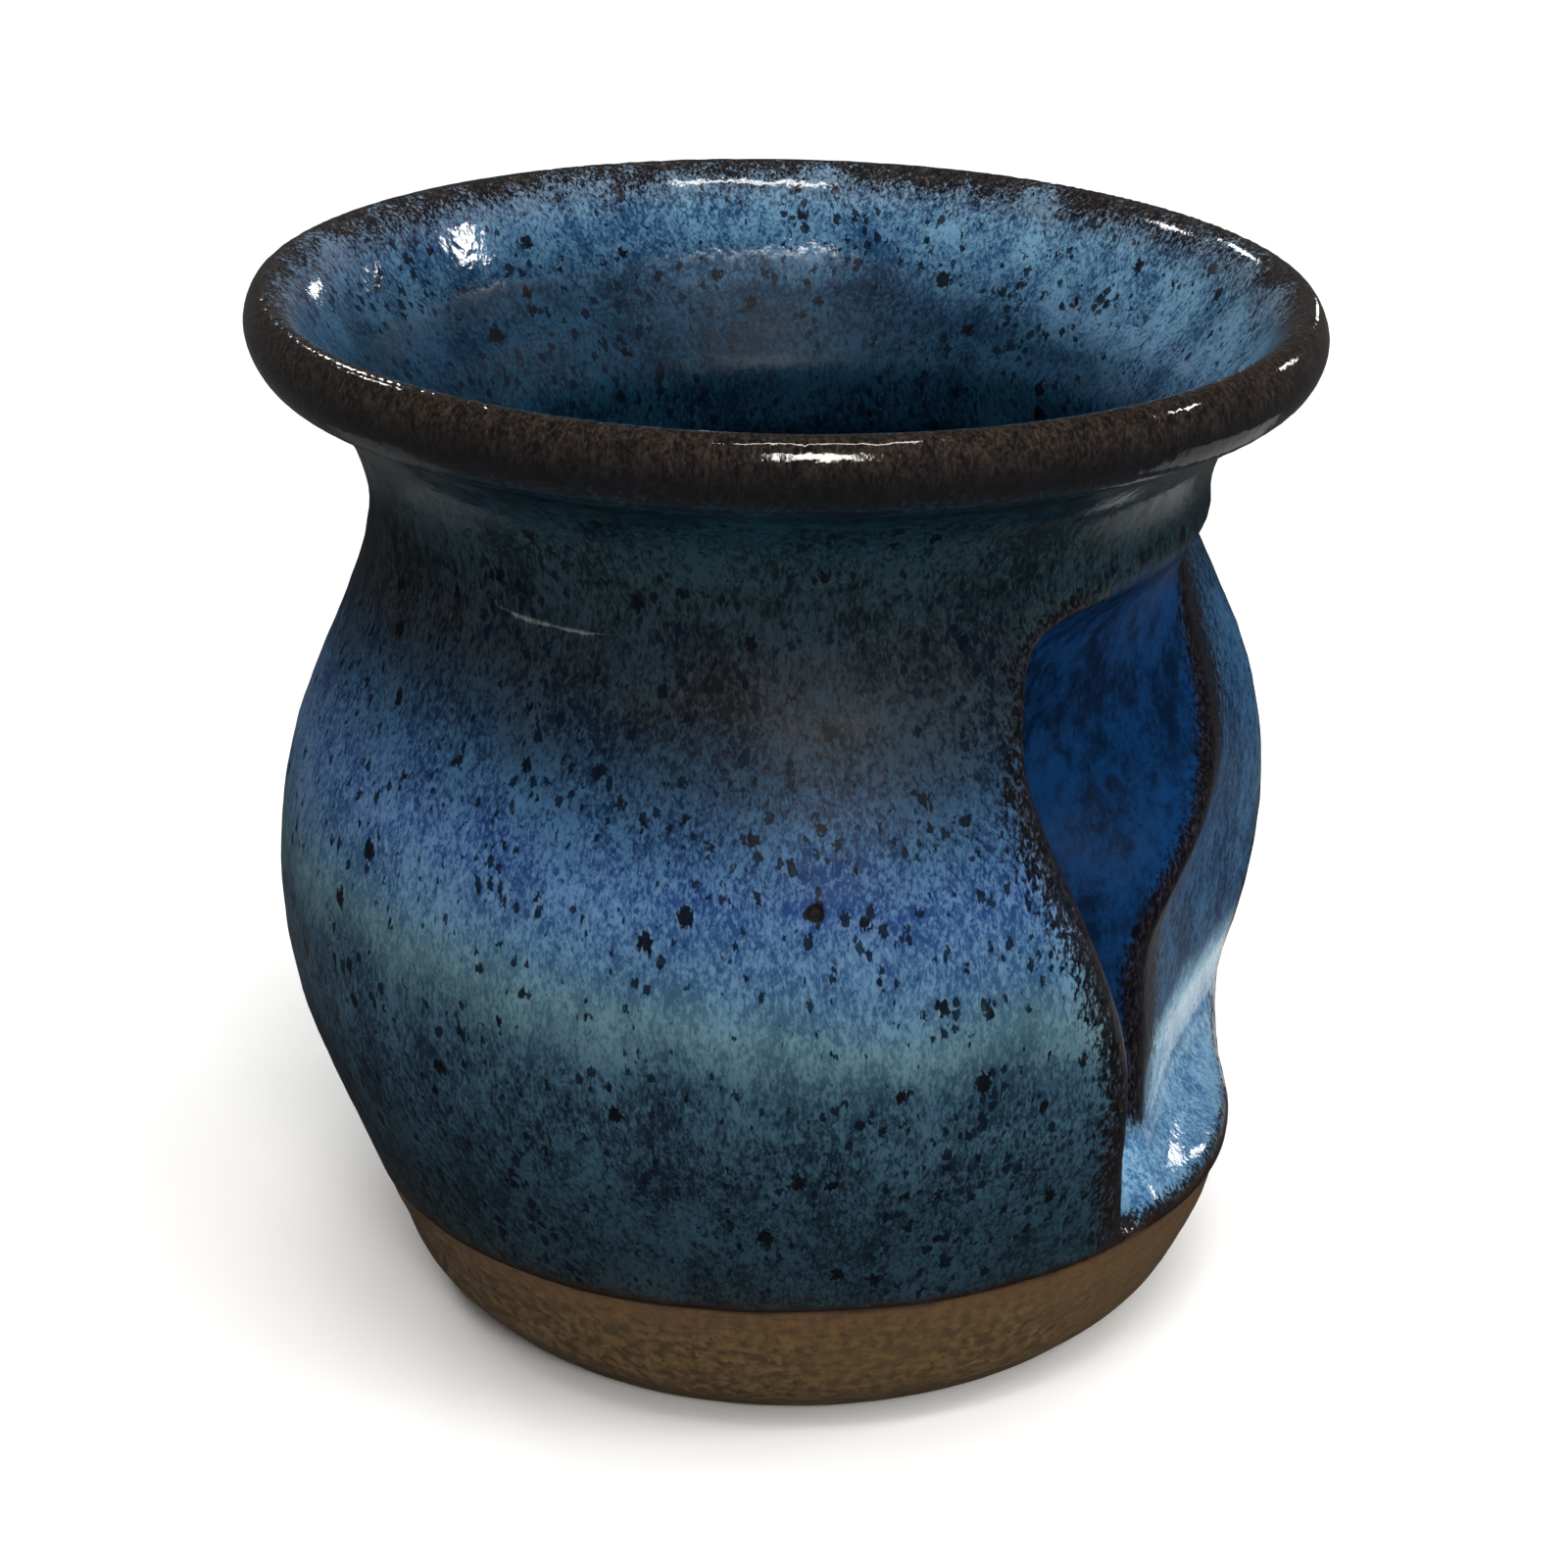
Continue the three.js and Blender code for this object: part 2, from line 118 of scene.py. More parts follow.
def curve_through(pairs):
    """Smooth function through (input, output) pairs, held at both ends."""
    xs = np.array([p[0] for p in pairs], float)
    ys = np.array([p[1] for p in pairs], float)
    last = len(xs) - 1
    low = np.maximum(np.arange(last + 1) - 1, 0)
    high = np.minimum(np.arange(last + 1) + 1, last)
    slopes = (ys[high] - ys[low]) / (xs[high] - xs[low])

    def value(x):
        x = np.clip(x, xs[0], xs[last])
        k = np.clip(np.searchsorted(xs, x, side="left"), 1, last)
        width = xs[k] - xs[k - 1]
        t = (x - xs[k - 1]) / width
        base = ys[k - 1] * (1 + 2 * t) * (1 - t) ** 2 + ys[k] * t * t * (3 - 2 * t)
        return base + width * (slopes[k - 1] * t * (1 - t) ** 2 - slopes[k] * t * t * (1 - t))

    return value


def spline_2d(points, steps):
    """Points along a uniform Catmull-Rom spline through the given 2-D points."""
    pts = np.array(points, float)
    last = len(pts) - 1
    u = np.linspace(0, last, steps + 1)
    k = np.minimum(u.astype(int), last - 1)
    t = (u - k)[:, None]
    p0, p1 = pts[np.maximum(k - 1, 0)], pts[k]
    p2, p3 = pts[k + 1], pts[np.minimum(k + 2, last)]
    v0, v1 = (p2 - p0) / 2, (p3 - p1) / 2
    cubic = 2 * p1 - 2 * p2 + v0 + v1
    square = -3 * p1 + 3 * p2 - 2 * v0 - v1
    return cubic * t**3 + square * t**2 + v0 * t + p1


def smoothstep(x, low, high):
    t = np.clip((x - low) / (high - low), 0, 1)
    return t * t * (3 - 2 * t)


def lerp(a, b, t):
    return a + (b - a) * t


def smoothed_body():
    """The outside from the foot to the funnel's flare, with the joints of its curves eased."""
    step, sigma, reach = 0.25, 2.4, 32
    h = np.arange(-14, 112, step)
    flare = np.array([p[::-1] for p in COLLAR_OUTLINE[1:4]])
    rough = np.where(h < 83, curve_through(BODY_PROFILE)(h), curve_through(flare)(h))
    spread = np.exp(-0.5 * (np.arange(-reach, reach + 1) * step / sigma) ** 2)
    eased = np.convolve(np.pad(rough, reach, mode="edge"), spread / spread.sum(), mode="valid")
    eased = lerp(rough, eased, smoothstep(h, 4, 14) * (1 - smoothstep(h, 88, 92)))
    return lambda height: np.interp(height, h, eased)


body_radius = smoothed_body()
throat_radius = curve_through(THROAT_PROFILE)
ridge_bearing = curve_through([(h, b) for h, b, _ in RIDGE])
ridge_radius = curve_through([(h, r) for h, _, r in RIDGE])
flap_edge = curve_through(FLAP_EDGE)


def flap_thickness(h):
    return lerp(FLAP, FLAP_AT_COLLAR, smoothstep(h, FLAP_THINS_FROM, COLLAR_BASE))


def far_edge(h):
    rise = np.clip((h - WINDOW_SILL) / SILL_CORNER_HEIGHT, 0, 1)
    return FAR_EDGE - SILL_CORNER_BEARINGS * (1 - rise) ** SILL_CORNER_ROUNDNESS


def lean_at(h):
    return smoothstep(h, *LEAN_HEIGHTS) * LEAN


# ---- Signed distances to the pot's cross-sections, in a table ----

SECTION_STEP = 0.3
SECTION_LOW = 0.0, -6.0
SECTION_SIZE = (200, 400)


def polygon_distance(points, queries):
    """Distance from each query point to a closed polygon, negative inside it."""
    a = np.array(points, float)
    b = np.roll(a, -1, axis=0)
    edge = b - a
    length2 = np.maximum((edge ** 2).sum(1), 1e-12)
    out = np.empty(len(queries))
    for start in range(0, len(queries), 4000):
        q = queries[start:start + 4000, None, :]
        t = np.clip(((q - a) * edge).sum(2) / length2, 0, 1)
        away = q - a - t[..., None] * edge
        nearest = np.sqrt((away ** 2).sum(2).min(1))
        above = (a[:, 1] > q[..., 1]) != (b[:, 1] > q[..., 1])
        rise = np.where(np.abs(edge[:, 1]) < 1e-12, 1e-12, edge[:, 1])
        crossing = a[:, 0] + (q[..., 1] - a[:, 1]) * edge[:, 0] / rise
        inside = (above & (q[..., 0] < crossing)).sum(1) % 2 == 1
        out[start:start + 4000] = np.where(inside, -nearest, nearest)
    return out


class Table:
    """A smooth 2-D function kept on a regular grid and read between its points."""

    def __init__(self, values, low, step):
        self.values, self.low, self.step = values, low, step

    def __call__(self, x, y):
        v = self.values
        fx = np.clip((x - self.low[0]) / self.step, 0, v.shape[0] - 1.001)
        fy = np.clip((y - self.low[1]) / self.step, 0, v.shape[1] - 1.001)
        i, j = fx.astype(int), fy.astype(int)
        s, t = fx - i, fy - j
        low = v[i, j] * (1 - t) + v[i, j + 1] * t
        high = v[i + 1, j] * (1 - t) + v[i + 1, j + 1] * t
        return low * (1 - s) + high * s


def section_table(points):
    radii = SECTION_LOW[0] + SECTION_STEP * np.arange(SECTION_SIZE[0])
    heights = SECTION_LOW[1] + SECTION_STEP * np.arange(SECTION_SIZE[1])
    grid = np.stack(np.meshgrid(radii, heights, indexing="ij"), -1).reshape(-1, 2)
    return Table(polygon_distance(points, grid).reshape(SECTION_SIZE), SECTION_LOW, SECTION_STEP)


def outside_line():
    """The section's heel, body, collar and way down inside, each as [radius, height]."""
    heights = np.arange(0.6, 91.0, 0.8)
    body = np.stack([body_radius(heights), heights], 1)
    collar = spline_2d(COLLAR_OUTLINE, 88)
    crest = int(np.argmax(collar[:, 1]))
    up = collar[:crest + 1]
    return [[34.2, 0.15]], body, up[up[:, 1] > 91.3], collar[crest:]


def bowl_radius(walls):
    """Radius of the cup's rounded bottom at each height."""
    fall = np.clip((BOWL_CENTRE - walls) / (BOWL_CENTRE - FLOOR_HEIGHT), 0, 1)
    return BOWL_FLAT + BOWL_REACH * np.sqrt(1 - fall ** 2)


def sections():
    """Distance tables of the whole outline, of the drink space and of the wall between."""
    above = 140
    heel, body, up, down = outside_line()
    outer = np.concatenate([UNDERSIDE, heel, body, up, [[PAST_AXIS, up[-1][1]]]])
    walls = np.arange(COLLAR_BASE - 1.2, FLOOR_HEIGHT, -1.0)
    drawn_in = np.where(walls > THROAT_PROFILE[0][0], throat_radius(walls), np.inf)
    inner_radius = np.minimum(body_radius(walls) - WALL, drawn_in)
    inner_radius = np.minimum(inner_radius, bowl_radius(walls))
    inner = np.stack([inner_radius, walls], 1)
    floor = [[BOWL_FLAT, FLOOR_HEIGHT], [PAST_AXIS, FLOOR_HEIGHT]]
    cavity = np.concatenate([down, inner, floor, [[PAST_AXIS, above], [down[0][0], above]]])
    wall = np.concatenate([outer[:-1], down[1:], inner, floor])
    return section_table(outer), section_table(cavity), section_table(wall)


outer_2d, cavity_2d, wall_2d = sections()

# ---- The hand recess, as a radius at each bearing and height ----

MAP_STEP = 0.5
MAP_BEARINGS = np.arange(-180, 180 + MAP_STEP / 2, MAP_STEP)
MAP_HEIGHTS = np.arange(0, 96 + MAP_STEP / 2, MAP_STEP)
MAP_BLUR = 3.4, 2.4     # in steps, round the pot and upwards
FUSE = 1.0      # how far the pocket's margins reach into the flap, so that they join
CLEAR = 6.0     # how far outside the wall the cutting surface stands where nothing is cut
USUAL_RADIUS = 40       # turns millimetres along the wall into degrees, nearly enough


def recess_map():
    """Radius of the recess, and of the body without it, at each bearing and height."""
    b, h = np.meshgrid(MAP_BEARINGS, MAP_HEIGHTS, indexing="ij")
    nominal = body_radius(h)
    closed = nominal - flap_thickness(h) + FUSE
    half = np.where(h > POCKET_MIDDLE, COLLAR_BASE - POCKET_MIDDLE, POCKET_MIDDLE - GLAZE_LINE)
    rise = np.clip(np.abs(h - POCKET_MIDDLE) / half, 0, 1) ** POCKET_SQUARENESS
    deep = lerp(POCKET_RADIUS, closed, rise)
    to_end = 1 - np.clip((b - POCKET_END) / POCKET_END_SPAN, 0, 1)
    to_ridge = 1 - np.clip((ridge_bearing(h) - b) / RIDGE_SPAN, 0, 1)
    ridge = np.maximum(ridge_radius(h), deep)
    shutting = (closed - deep) * to_end ** POCKET_END_ROUNDNESS
    pocket = deep + shutting + (ridge - deep) * to_ridge ** RIDGE_FLARE
    pocket = np.minimum(pocket, np.maximum(closed, ridge * to_ridge))
    b0, r0 = ridge_bearing(h), ridge_radius(h)
    b1, r1 = far_edge(h), nominal
    before = np.sin(np.radians(b - b0)) * r0
    after = np.sin(np.radians(b1 - b)) * r1
    across = np.sin(np.radians(b1 - b0)) * r0 * r1
    share = np.clip((b - b0) / (b1 - b0), 0, 1)
    palm = across / np.maximum(before + after, 4.0) - PALM_SCOOP * share * (1 - share)
    cut = np.where(b < b0, pocket, palm)
    below = np.maximum(1 - (h - WINDOW_SILL) / SILL_FILLET, 0)
    cut = lerp(cut, nominal, smoothstep(b, *SILL_BEARINGS) * below ** SILL_ROUNDNESS)
    into_roof = np.clip((h - ROOF_FROM) / ROOF_HEIGHT, 0, 2)
    roof = smoothstep(b, *ROOF_BEARINGS) * into_roof ** ROOF_ROUNDNESS
    cut = lerp(cut, nominal, roof)
    beyond = (b < POCKET_END - 1) | (b > b1 + 24) | (h < GLAZE_LINE - 0.6) | (h > RECESS_TOP)
    cut = np.where(beyond, nominal + CLEAR, np.minimum(cut, nominal + CLEAR))
    return cut, nominal


def smear(values, sigma, mode):
    """Gaussian blur along the first axis, with sigma in steps."""
    reach = int(3 * sigma) + 1
    share = np.exp(-0.5 * (np.arange(-reach, reach + 1) / sigma) ** 2)
    padded = np.pad(values, ((reach, reach), (0, 0)), mode=mode)
    return sum(w * padded[2 * reach - n:][:len(values)] for n, w in enumerate(share / share.sum()))


def joined(ring):
    """A map whose last bearing is its first one over again."""
    return np.concatenate([ring, ring[:1]])


def blur(values):
    ring = joined(smear(values[:-1], MAP_BLUR[0], "wrap"))
    return smear(ring.T, MAP_BLUR[1], "edge").T


def rolled_inside(outside, ball):
    """What a ball of the given radius leaves when it is rolled along the outside."""
    best = outside - ball
    for reach in (0.3, 0.55, 0.78, 0.93, 1.0):
        drop = ball * math.sqrt(max(0.0, 1 - reach * reach))
        for k in range(16):
            turn = k / 16 * 2 * math.pi
            aside = math.degrees(ball * reach * math.cos(turn) / USUAL_RADIUS)
            db = int(round(aside / MAP_STEP))
            dh = int(round(ball * reach * math.sin(turn) / MAP_STEP))
            rows = np.clip(np.arange(outside.shape[1]) + dh, 0, outside.shape[1] - 1)
            moved = joined(np.roll(outside[:-1], db, axis=0))[:, rows]
            best = np.minimum(best, moved - drop)
    return best


def as_field(radius_map):
    """Tables of a radius map and of how much its slope stretches a radial distance."""
    low = MAP_BEARINGS[0], MAP_HEIGHTS[0]
    by_bearing, by_height = np.gradient(radius_map, np.radians(MAP_STEP), MAP_STEP)
    stretch = np.sqrt(1 + by_height ** 2 + (by_bearing / radius_map) ** 2)
    return Table(radius_map, low, MAP_STEP), Table(np.minimum(stretch, 4.0), low, MAP_STEP)


cut_map, nominal_map = recess_map()
cut_map = blur(cut_map)
cut_at, cut_stretch = as_field(cut_map)
wall_outside = np.minimum(cut_map, nominal_map)
thin = smoothstep(MAP_HEIGHTS, *WALL_THINS)[None, :]
inside_map = lerp(rolled_inside(wall_outside, WALL),
                  rolled_inside(wall_outside, WALL_AT_COLLAR), thin)
inside_at, inside_stretch = as_field(blur(inside_map))

# ---- The whole body as one signed distance ----

# How far each join between two surfaces is rounded, in mm
CAVITY_EASE, RECESS_EASE, FLAP_EASE = 1.0, 1.3, 2.4


def smooth_min(a, b, k):
    mix = np.clip(0.5 + 0.5 * (b - a) / k, 0, 1)
    return lerp(b, a, mix) - k * mix * (1 - mix)


def smooth_max(a, b, k):
    return -smooth_min(-a, -b, k)


def polar(p):
    """Bearing, radius and upright height of points, with the lean taken out."""
    x, y, z = p[:, 0], p[:, 1], p[:, 2]
    h = z
    for _ in range(3):
        h = z + lean_at(h) * x
    return np.degrees(np.arctan2(x, -y)), np.hypot(x, y), h


def flap_outline(b, h):
    """Millimetres beyond the flap's free edge, measured along the wall."""
    per_degree = np.radians(1.0) * body_radius(h)
    slope = (flap_edge(h + 0.2) - flap_edge(h - 0.2)) / 0.4 * per_degree
    return (b - flap_edge(h)) * per_degree / np.sqrt(1 + slope ** 2)


def flap_distance(b, r, h):
    """Distance to the flap: a sheet of even thickness with a round free edge."""
    half = flap_thickness(h) / 2
    tilt = body_radius(h + 0.5) - body_radius(h - 0.5)
    across = np.abs(r - (body_radius(h) - half)) / np.sqrt(1 + tilt ** 2)
    beyond = np.maximum(flap_outline(b, h) + half, 0)
    skin = np.hypot(across, beyond) - half
    ends = np.maximum(np.maximum((POCKET_END - 8 - b) * 0.7, 15.0 - h), h - 84.6)
    return np.maximum(skin, ends)


def throwing_rings(b, h, outer, cavity):
    """Faint ridges that the fingers leave as the pot turns, outside and in the cup."""
    turn = np.radians(b)
    ripple = 0.03 * np.sin(h * 0.92 + turn + 0.8 * np.sin(h * 0.31))
    ripple = ripple + 0.02 * np.sin(h * 1.9 + turn + 2.0)
    inner = 0.22 * np.sin(h * 1.05 + turn)
    fade = smoothstep(h, 18, 26) * (1 - smoothstep(h, 84, 92)) * smoothstep(outer, -1.2, -0.2)
    fade_in = smoothstep(h, 12, 20) * (1 - smoothstep(h, 90, 99)) * smoothstep(cavity, 1.4, 0.4)
    return ripple * fade + inner * fade_in


def field(p):
    """Signed distance from points to the glazed pot, negative inside the clay."""
    b, r, h = polar(p)
    outer = outer_2d(r, h)
    cut = (r - cut_at(b, h)) / cut_stretch(b, h)
    hollow = (r - inside_at(b, h)) / inside_stretch(b, h)
    cavity = smooth_max(cavity_2d(r, h), hollow, CAVITY_EASE)
    cup = smooth_max(outer, cut, RECESS_EASE)
    body = smooth_min(cup, flap_distance(b, r, h), FLAP_EASE)
    body = np.maximum(np.maximum(body, outer), -cavity)
    body = lerp(body, wall_2d(r, h), smoothstep(h, 82.5, 86.0))
    body = np.where(h < 13.0, wall_2d(r, h), body)
    return body + throwing_rings(b, h, outer, cavity)


def gradient(p, reach=0.05):
    steps = np.eye(3) * reach
    return np.stack([field(p + step) - field(p - step) for step in steps], 1) / (2 * reach)


def onto_surface(p, limit, passes=3):
    for _ in range(passes):
        g = gradient(p)
        steepness = np.maximum((g ** 2).sum(1), 0.25)
        step = g * (field(p) / steepness)[:, None]
        length = np.linalg.norm(step, axis=1)
        step *= np.minimum(1, limit / np.maximum(length, 1e-9))[:, None]
        p = p - step
    return p


def surface_nets(low, high, step, field=field):
    """Quads close to where field is zero, with one corner in each crossed cell."""
    axes = [np.arange(a, b + step, step) for a, b in zip(low, high)]
    shape = tuple(len(a) for a in axes)
    points = np.stack(np.meshgrid(*axes, indexing="ij"), -1).reshape(-1, 3)
    values = np.concatenate([field(points[k:k + 400000]) for k in range(0, len(points), 400000)])
    values = values.reshape(shape)
    solid = values < 0
    cells = tuple(n - 1 for n in shape)
    corners = [(i, j, k) for i in (0, 1) for j in (0, 1) for k in (0, 1)]

    def shifted(array, offset):
        return array[tuple(slice(o, o + n) for o, n in zip(offset, cells))]

    count = sum(shifted(solid, c).astype(np.int8) for c in corners)
    where = np.argwhere((count > 0) & (count < 8))
    index = np.full(cells, -1)
    index[tuple(where.T)] = np.arange(len(where))
    total = np.zeros((len(where), 3))
    hits = np.zeros(len(where))
    at_corner = {c: values[tuple((where + c).T)] for c in corners}
    for a in corners:
        for axis in range(3):
            if a[axis]:
                continue
            b = tuple(1 if n == axis else v for n, v in enumerate(a))
            va, vb = at_corner[a], at_corner[b]
            crossed = (va < 0) != (vb < 0)
            t = np.where(crossed, va / np.where(crossed, va - vb, 1), 0)
            spot = np.array(a, float)[None, :].repeat(len(where), 0)
            spot[:, axis] += t
            total += spot * crossed[:, None]
            hits += crossed
    vertices = np.array([a[0] for a in axes]) + (where + total / hits[:, None]) * step
    quads = []
    for axis in range(3):
        u, v = (axis + 1) % 3, (axis + 2) % 3
        crossing = np.argwhere(np.diff(solid, axis=axis))
        crossing = crossing[(crossing[:, u] > 0) & (crossing[:, v] > 0)
                            & (crossing[:, u] < cells[u]) & (crossing[:, v] < cells[v])]
        ring = []
        for du, dv in ((1, 1), (0, 1), (0, 0), (1, 0)):
            cell = crossing.copy()
            cell[:, u] -= du
            cell[:, v] -= dv
            ring.append(index[tuple(cell.T)])
        faces = np.stack(ring, 1)
        flip = ~solid[tuple(crossing.T)]
        faces[flip] = faces[flip][:, ::-1]
        quads.append(faces)
    return vertices, np.concatenate(quads)


def relax(vertices, quads, passes, limit):
    """Even out the quads, keeping every corner on the surface."""
    pairs = np.concatenate([quads[:, [k, (k + 1) % 4]] for k in range(4)])
    pairs = np.concatenate([pairs, pairs[:, ::-1]])
    degree = np.bincount(pairs[:, 0], minlength=len(vertices))[:, None]
    for _ in range(passes):
        near = np.stack([np.bincount(pairs[:, 0], vertices[pairs[:, 1], axis],
                                     minlength=len(vertices)) for axis in range(3)], 1)
        vertices = lerp(vertices, near / degree, 0.6)
        vertices = onto_surface(vertices, limit, 1)
    return onto_surface(vertices, limit, 2)


# ---- Blender pieces ----

CELL = 1.62     # size of the surface cells, in mm
COAT = 0.5
COAT_AT_LINE = 0.2


def add_mesh(name, vertices, faces, attributes):
    mesh = bpy.data.meshes.new(name)
    mesh.from_pydata((vertices * MM).tolist(), [], faces)
    mesh.validate()
    mesh.polygons.foreach_set("use_smooth", [True] * len(mesh.polygons))
    for key, values in attributes.items():
        layer = mesh.attributes.new(key, "FLOAT", "POINT")
        layer.data.foreach_set("value", np.asarray(values, np.float32))
    mesh.update()
    piece = bpy.data.objects.new(name, mesh)
    bpy.context.scene.collection.objects.link(piece)
    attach(piece, "root")
    return piece


def line_distance(p, line):
    """Distance from points to a polyline of 3-D points."""
    best = np.full(len(p), 1e9)
    for a, b in zip(line[:-1], line[1:]):
        edge = b - a
        t = np.clip(((p - a) @ edge) / max(edge @ edge, 1e-9), 0, 1)
        best = np.minimum(best, np.linalg.norm(p - a - t[:, None] * edge, axis=1))
    return best


def on_mug(b, r, h):
    """Points at bearings, radii and upright heights, with the lean put back."""
    x = r * np.sin(np.radians(b))
    y = -r * np.cos(np.radians(b))
    return np.stack([x, y, h - lean_at(h) * x], -1)


def feature_lines():
    """The flap's free edge, the ridge, the palm rest's far edge and the sill."""
    h = np.linspace(15.0, 82.3, 60)
    half = flap_thickness(h) / 2
    flap = on_mug(flap_edge(h) - np.degrees(half * 0.3 / body_radius(h)), body_radius(h) - half, h)
    ridge_h = np.linspace(19.0, 84.0, 60)
    ridge = on_mug(ridge_bearing(ridge_h), ridge_radius(ridge_h), ridge_h)
    far = on_mug(far_edge(h), body_radius(h), h)
    level = np.full(30, WINDOW_SILL + 0.1)
    sill = on_mug(np.linspace(44, 96, 30), np.full(30, body_radius(WINDOW_SILL)), level)
    return {"flap": flap, "ridge": ridge, "far": far, "sill": sill}


def pit_centre():
    return on_mug(PIT_BEARING, body_radius(PIT_HEIGHT), PIT_HEIGHT)


def glaze_attributes(p):
    """What the glaze's material needs to know at each point of its surface."""
    b, r, h = polar(p)
    lines = feature_lines()
    outer, cavity = outer_2d(r, h), cavity_2d(r, h)
    low_down = h < RECESS_TOP
    inside = (r < inside_at(b, h) + 1.6) & (h > 5) & low_down
    inside = inside | (~low_down & (np.abs(cavity) < np.abs(outer)))
    recess = ~inside & (outer < -0.5) & (b > POCKET_END - 6) & (b < FAR_EDGE + 4) & low_down
    # The brown along the ridge is wide on the palm's side and narrow in the pocket
    ridge_width = np.where(b > ridge_bearing(h), lerp(2.3, 3.6, smoothstep(h, 48, 62)), 0.55)
    beyond_ridge = (b - ridge_bearing(h)) * 0.7
    # Added to a distance where its line must not show, such as through the wall
    far_off = 20.0
    through = far_off * inside
    in_pool = smoothstep(-outer, 2.0, 4.0) * (1 - smoothstep(h, 24, 29)) * recess
    ridge_line = line_distance(p, lines["ridge"]) / ridge_width + through
    ridge_line = ridge_line + far_off * (~recess) + 12.0 * (1 - smoothstep(h, 20, 26.5))
    return {
        "height": h,
        "inside": inside.astype(float),
        "recess": recess.astype(float),
        "past_ridge": np.where(recess, beyond_ridge, 0.0),
        "flap_line": line_distance(p, lines["flap"]) + through + far_off * in_pool,
        "ridge_line": ridge_line,
        "far_line": line_distance(p, lines["far"]) + through,
        "sill_line": line_distance(p, lines["sill"]) + through,
        "pit": np.linalg.norm(p - pit_centre(), axis=1),
        "scar_across": h - np.interp(b, SCAR_BEARINGS, SCAR_HEIGHTS) + 9.0 * (r < 30),
        "scar_along": (b - SCAR_MIDDLE) / SCAR_HALF,
    }


def line_wobble(b):
    """How far the glaze line runs above or below its height."""
    t = np.radians(b)
    return 0.16 * np.sin(3 * t + 0.6) + 0.10 * np.sin(7 * t + 2.0) + 0.06 * np.sin(17 * t)


SKIN = 2.4          # the outside surface lies within this of the outline, the inside does not


def split(bm, edges, cuts):
    bmesh.ops.subdivide_edges(bm, edges=list(edges), cuts=cuts, use_grid_fill=True)


def glaze_sheet():
    """The glazed surface, cut off along the glaze line outside."""
    low, high = [-54.6, -54.6, -1.7], [54.6, 54.6, 108.4]
    vertices, quads = surface_nets(low, high, CELL)
    vertices = onto_surface(vertices, CELL * 0.6)
    vertices = relax(vertices, quads, 3, CELL * 0.5)
    bm = bmesh.new()
    corners = [bm.verts.new(v) for v in vertices]
    for quad in quads:
        bm.faces.new([corners[k] for k in quad])

    def outside_faces():
        faces = [f for f in bm.faces if f.calc_center_median().z < 24]
        centres = np.array([f.calc_center_median()[:] for f in faces])
        depth = outer_2d(np.hypot(centres[:, 0], centres[:, 1]), centres[:, 2])
        return [f for f, d in zip(faces, depth) if d > -SKIN]

    band = outside_faces()
    edges, verts = set(), set()
    for f in band:
        edges.update(f.edges)
        verts.update(f.verts)
    bmesh.ops.bisect_plane(bm, geom=band + list(edges) + list(verts), dist=0.02,
                           plane_co=(0, 0, GLAZE_LINE), plane_no=(0, 0, 1))
    below = [f for f in outside_faces() if f.calc_center_median().z < GLAZE_LINE]
    bmesh.ops.delete(bm, geom=below, context="FACES")
    # Finer faces round the burst bubble, on the lip and along the flap's edge and the ridge
    pit = Vector(pit_centre())
    near = {e for f in bm.faces if (f.calc_center_median() - pit).length < 3.2 for e in f.edges}
    split(bm, near, 5)
    bm.faces.ensure_lookup_table()
    centres = np.array([f.calc_center_median()[:] for f in bm.faces])
    lines = feature_lines()
    on_lip = (centres[:, 2] > 97) & (np.hypot(centres[:, 0], centres[:, 1]) > 46)
    tight = on_lip | (line_distance(centres, lines["flap"]) < 4.5)
    tight = tight | (line_distance(centres, lines["ridge"]) < 3.5)
    split(bm, {e for i in np.flatnonzero(tight) for e in bm.faces[i].edges}, 1)
    bm.verts.index_update()
    vertices = onto_surface(np.array([v.co[:] for v in bm.verts]), 0.5, 2)
    faces = [[v.index for v in f.verts] for f in bm.faces]
    rim = [tuple(v.index for v in (loop.vert, loop.link_loop_next.vert))
           for e in bm.edges if len(e.link_loops) == 1 for loop in e.link_loops]
    bm.free()
    return vertices, faces, rim


def make_glaze():
    """The coat: the glazed surface, a second sheet under it, and an edge between the two."""
    vertices, faces, rim = glaze_sheet()
    b, r, h = polar(vertices)
    on_skin = outer_2d(r, h) > -SKIN
    near_line = (1 - smoothstep(np.abs(h - GLAZE_LINE), 0, 3.0)) * on_skin
    shift = line_wobble(b) * near_line
    scale = body_radius(h + shift) / body_radius(h)
    vertices[:, :2] *= scale[:, None]
    vertices[:, 2] += shift
    normals = gradient(vertices)
    normals /= np.linalg.norm(normals, axis=1)[:, None]
    marks = glaze_attributes(vertices)
    dent = -PIT_DEPTH * np.exp(-(marks["pit"] / PIT_RADIUS) ** 4)
    dent = dent + PIT_LIP * np.exp(-((marks["pit"] - 1.0) / 0.3) ** 2)
    across, along = marks["scar_across"], marks["scar_along"]
    raised = SCAR_RISE * np.exp(-(across / SCAR_SPREAD) ** 2) * (np.abs(along) < 1)
    vertices = vertices + normals * (dent + raised)[:, None]
    thinned = lerp(COAT_AT_LINE, COAT, smoothstep(h - GLAZE_LINE, 0, 1.6))
    thickness = np.where(on_skin * (h < 20), thinned, COAT)
    inner = vertices - normals * (thickness + dent)[:, None]
    count = len(vertices)
    everything = np.concatenate([vertices, inner])
    all_faces = faces + [[i + count for i in reversed(f)] for f in faces]
    all_faces += [[end, start, start + count, end + count] for start, end in rim]
    doubled = {key: np.concatenate([v, v]) for key, v in marks.items()}
    return add_mesh("glaze_coat", everything, all_faces, doubled)


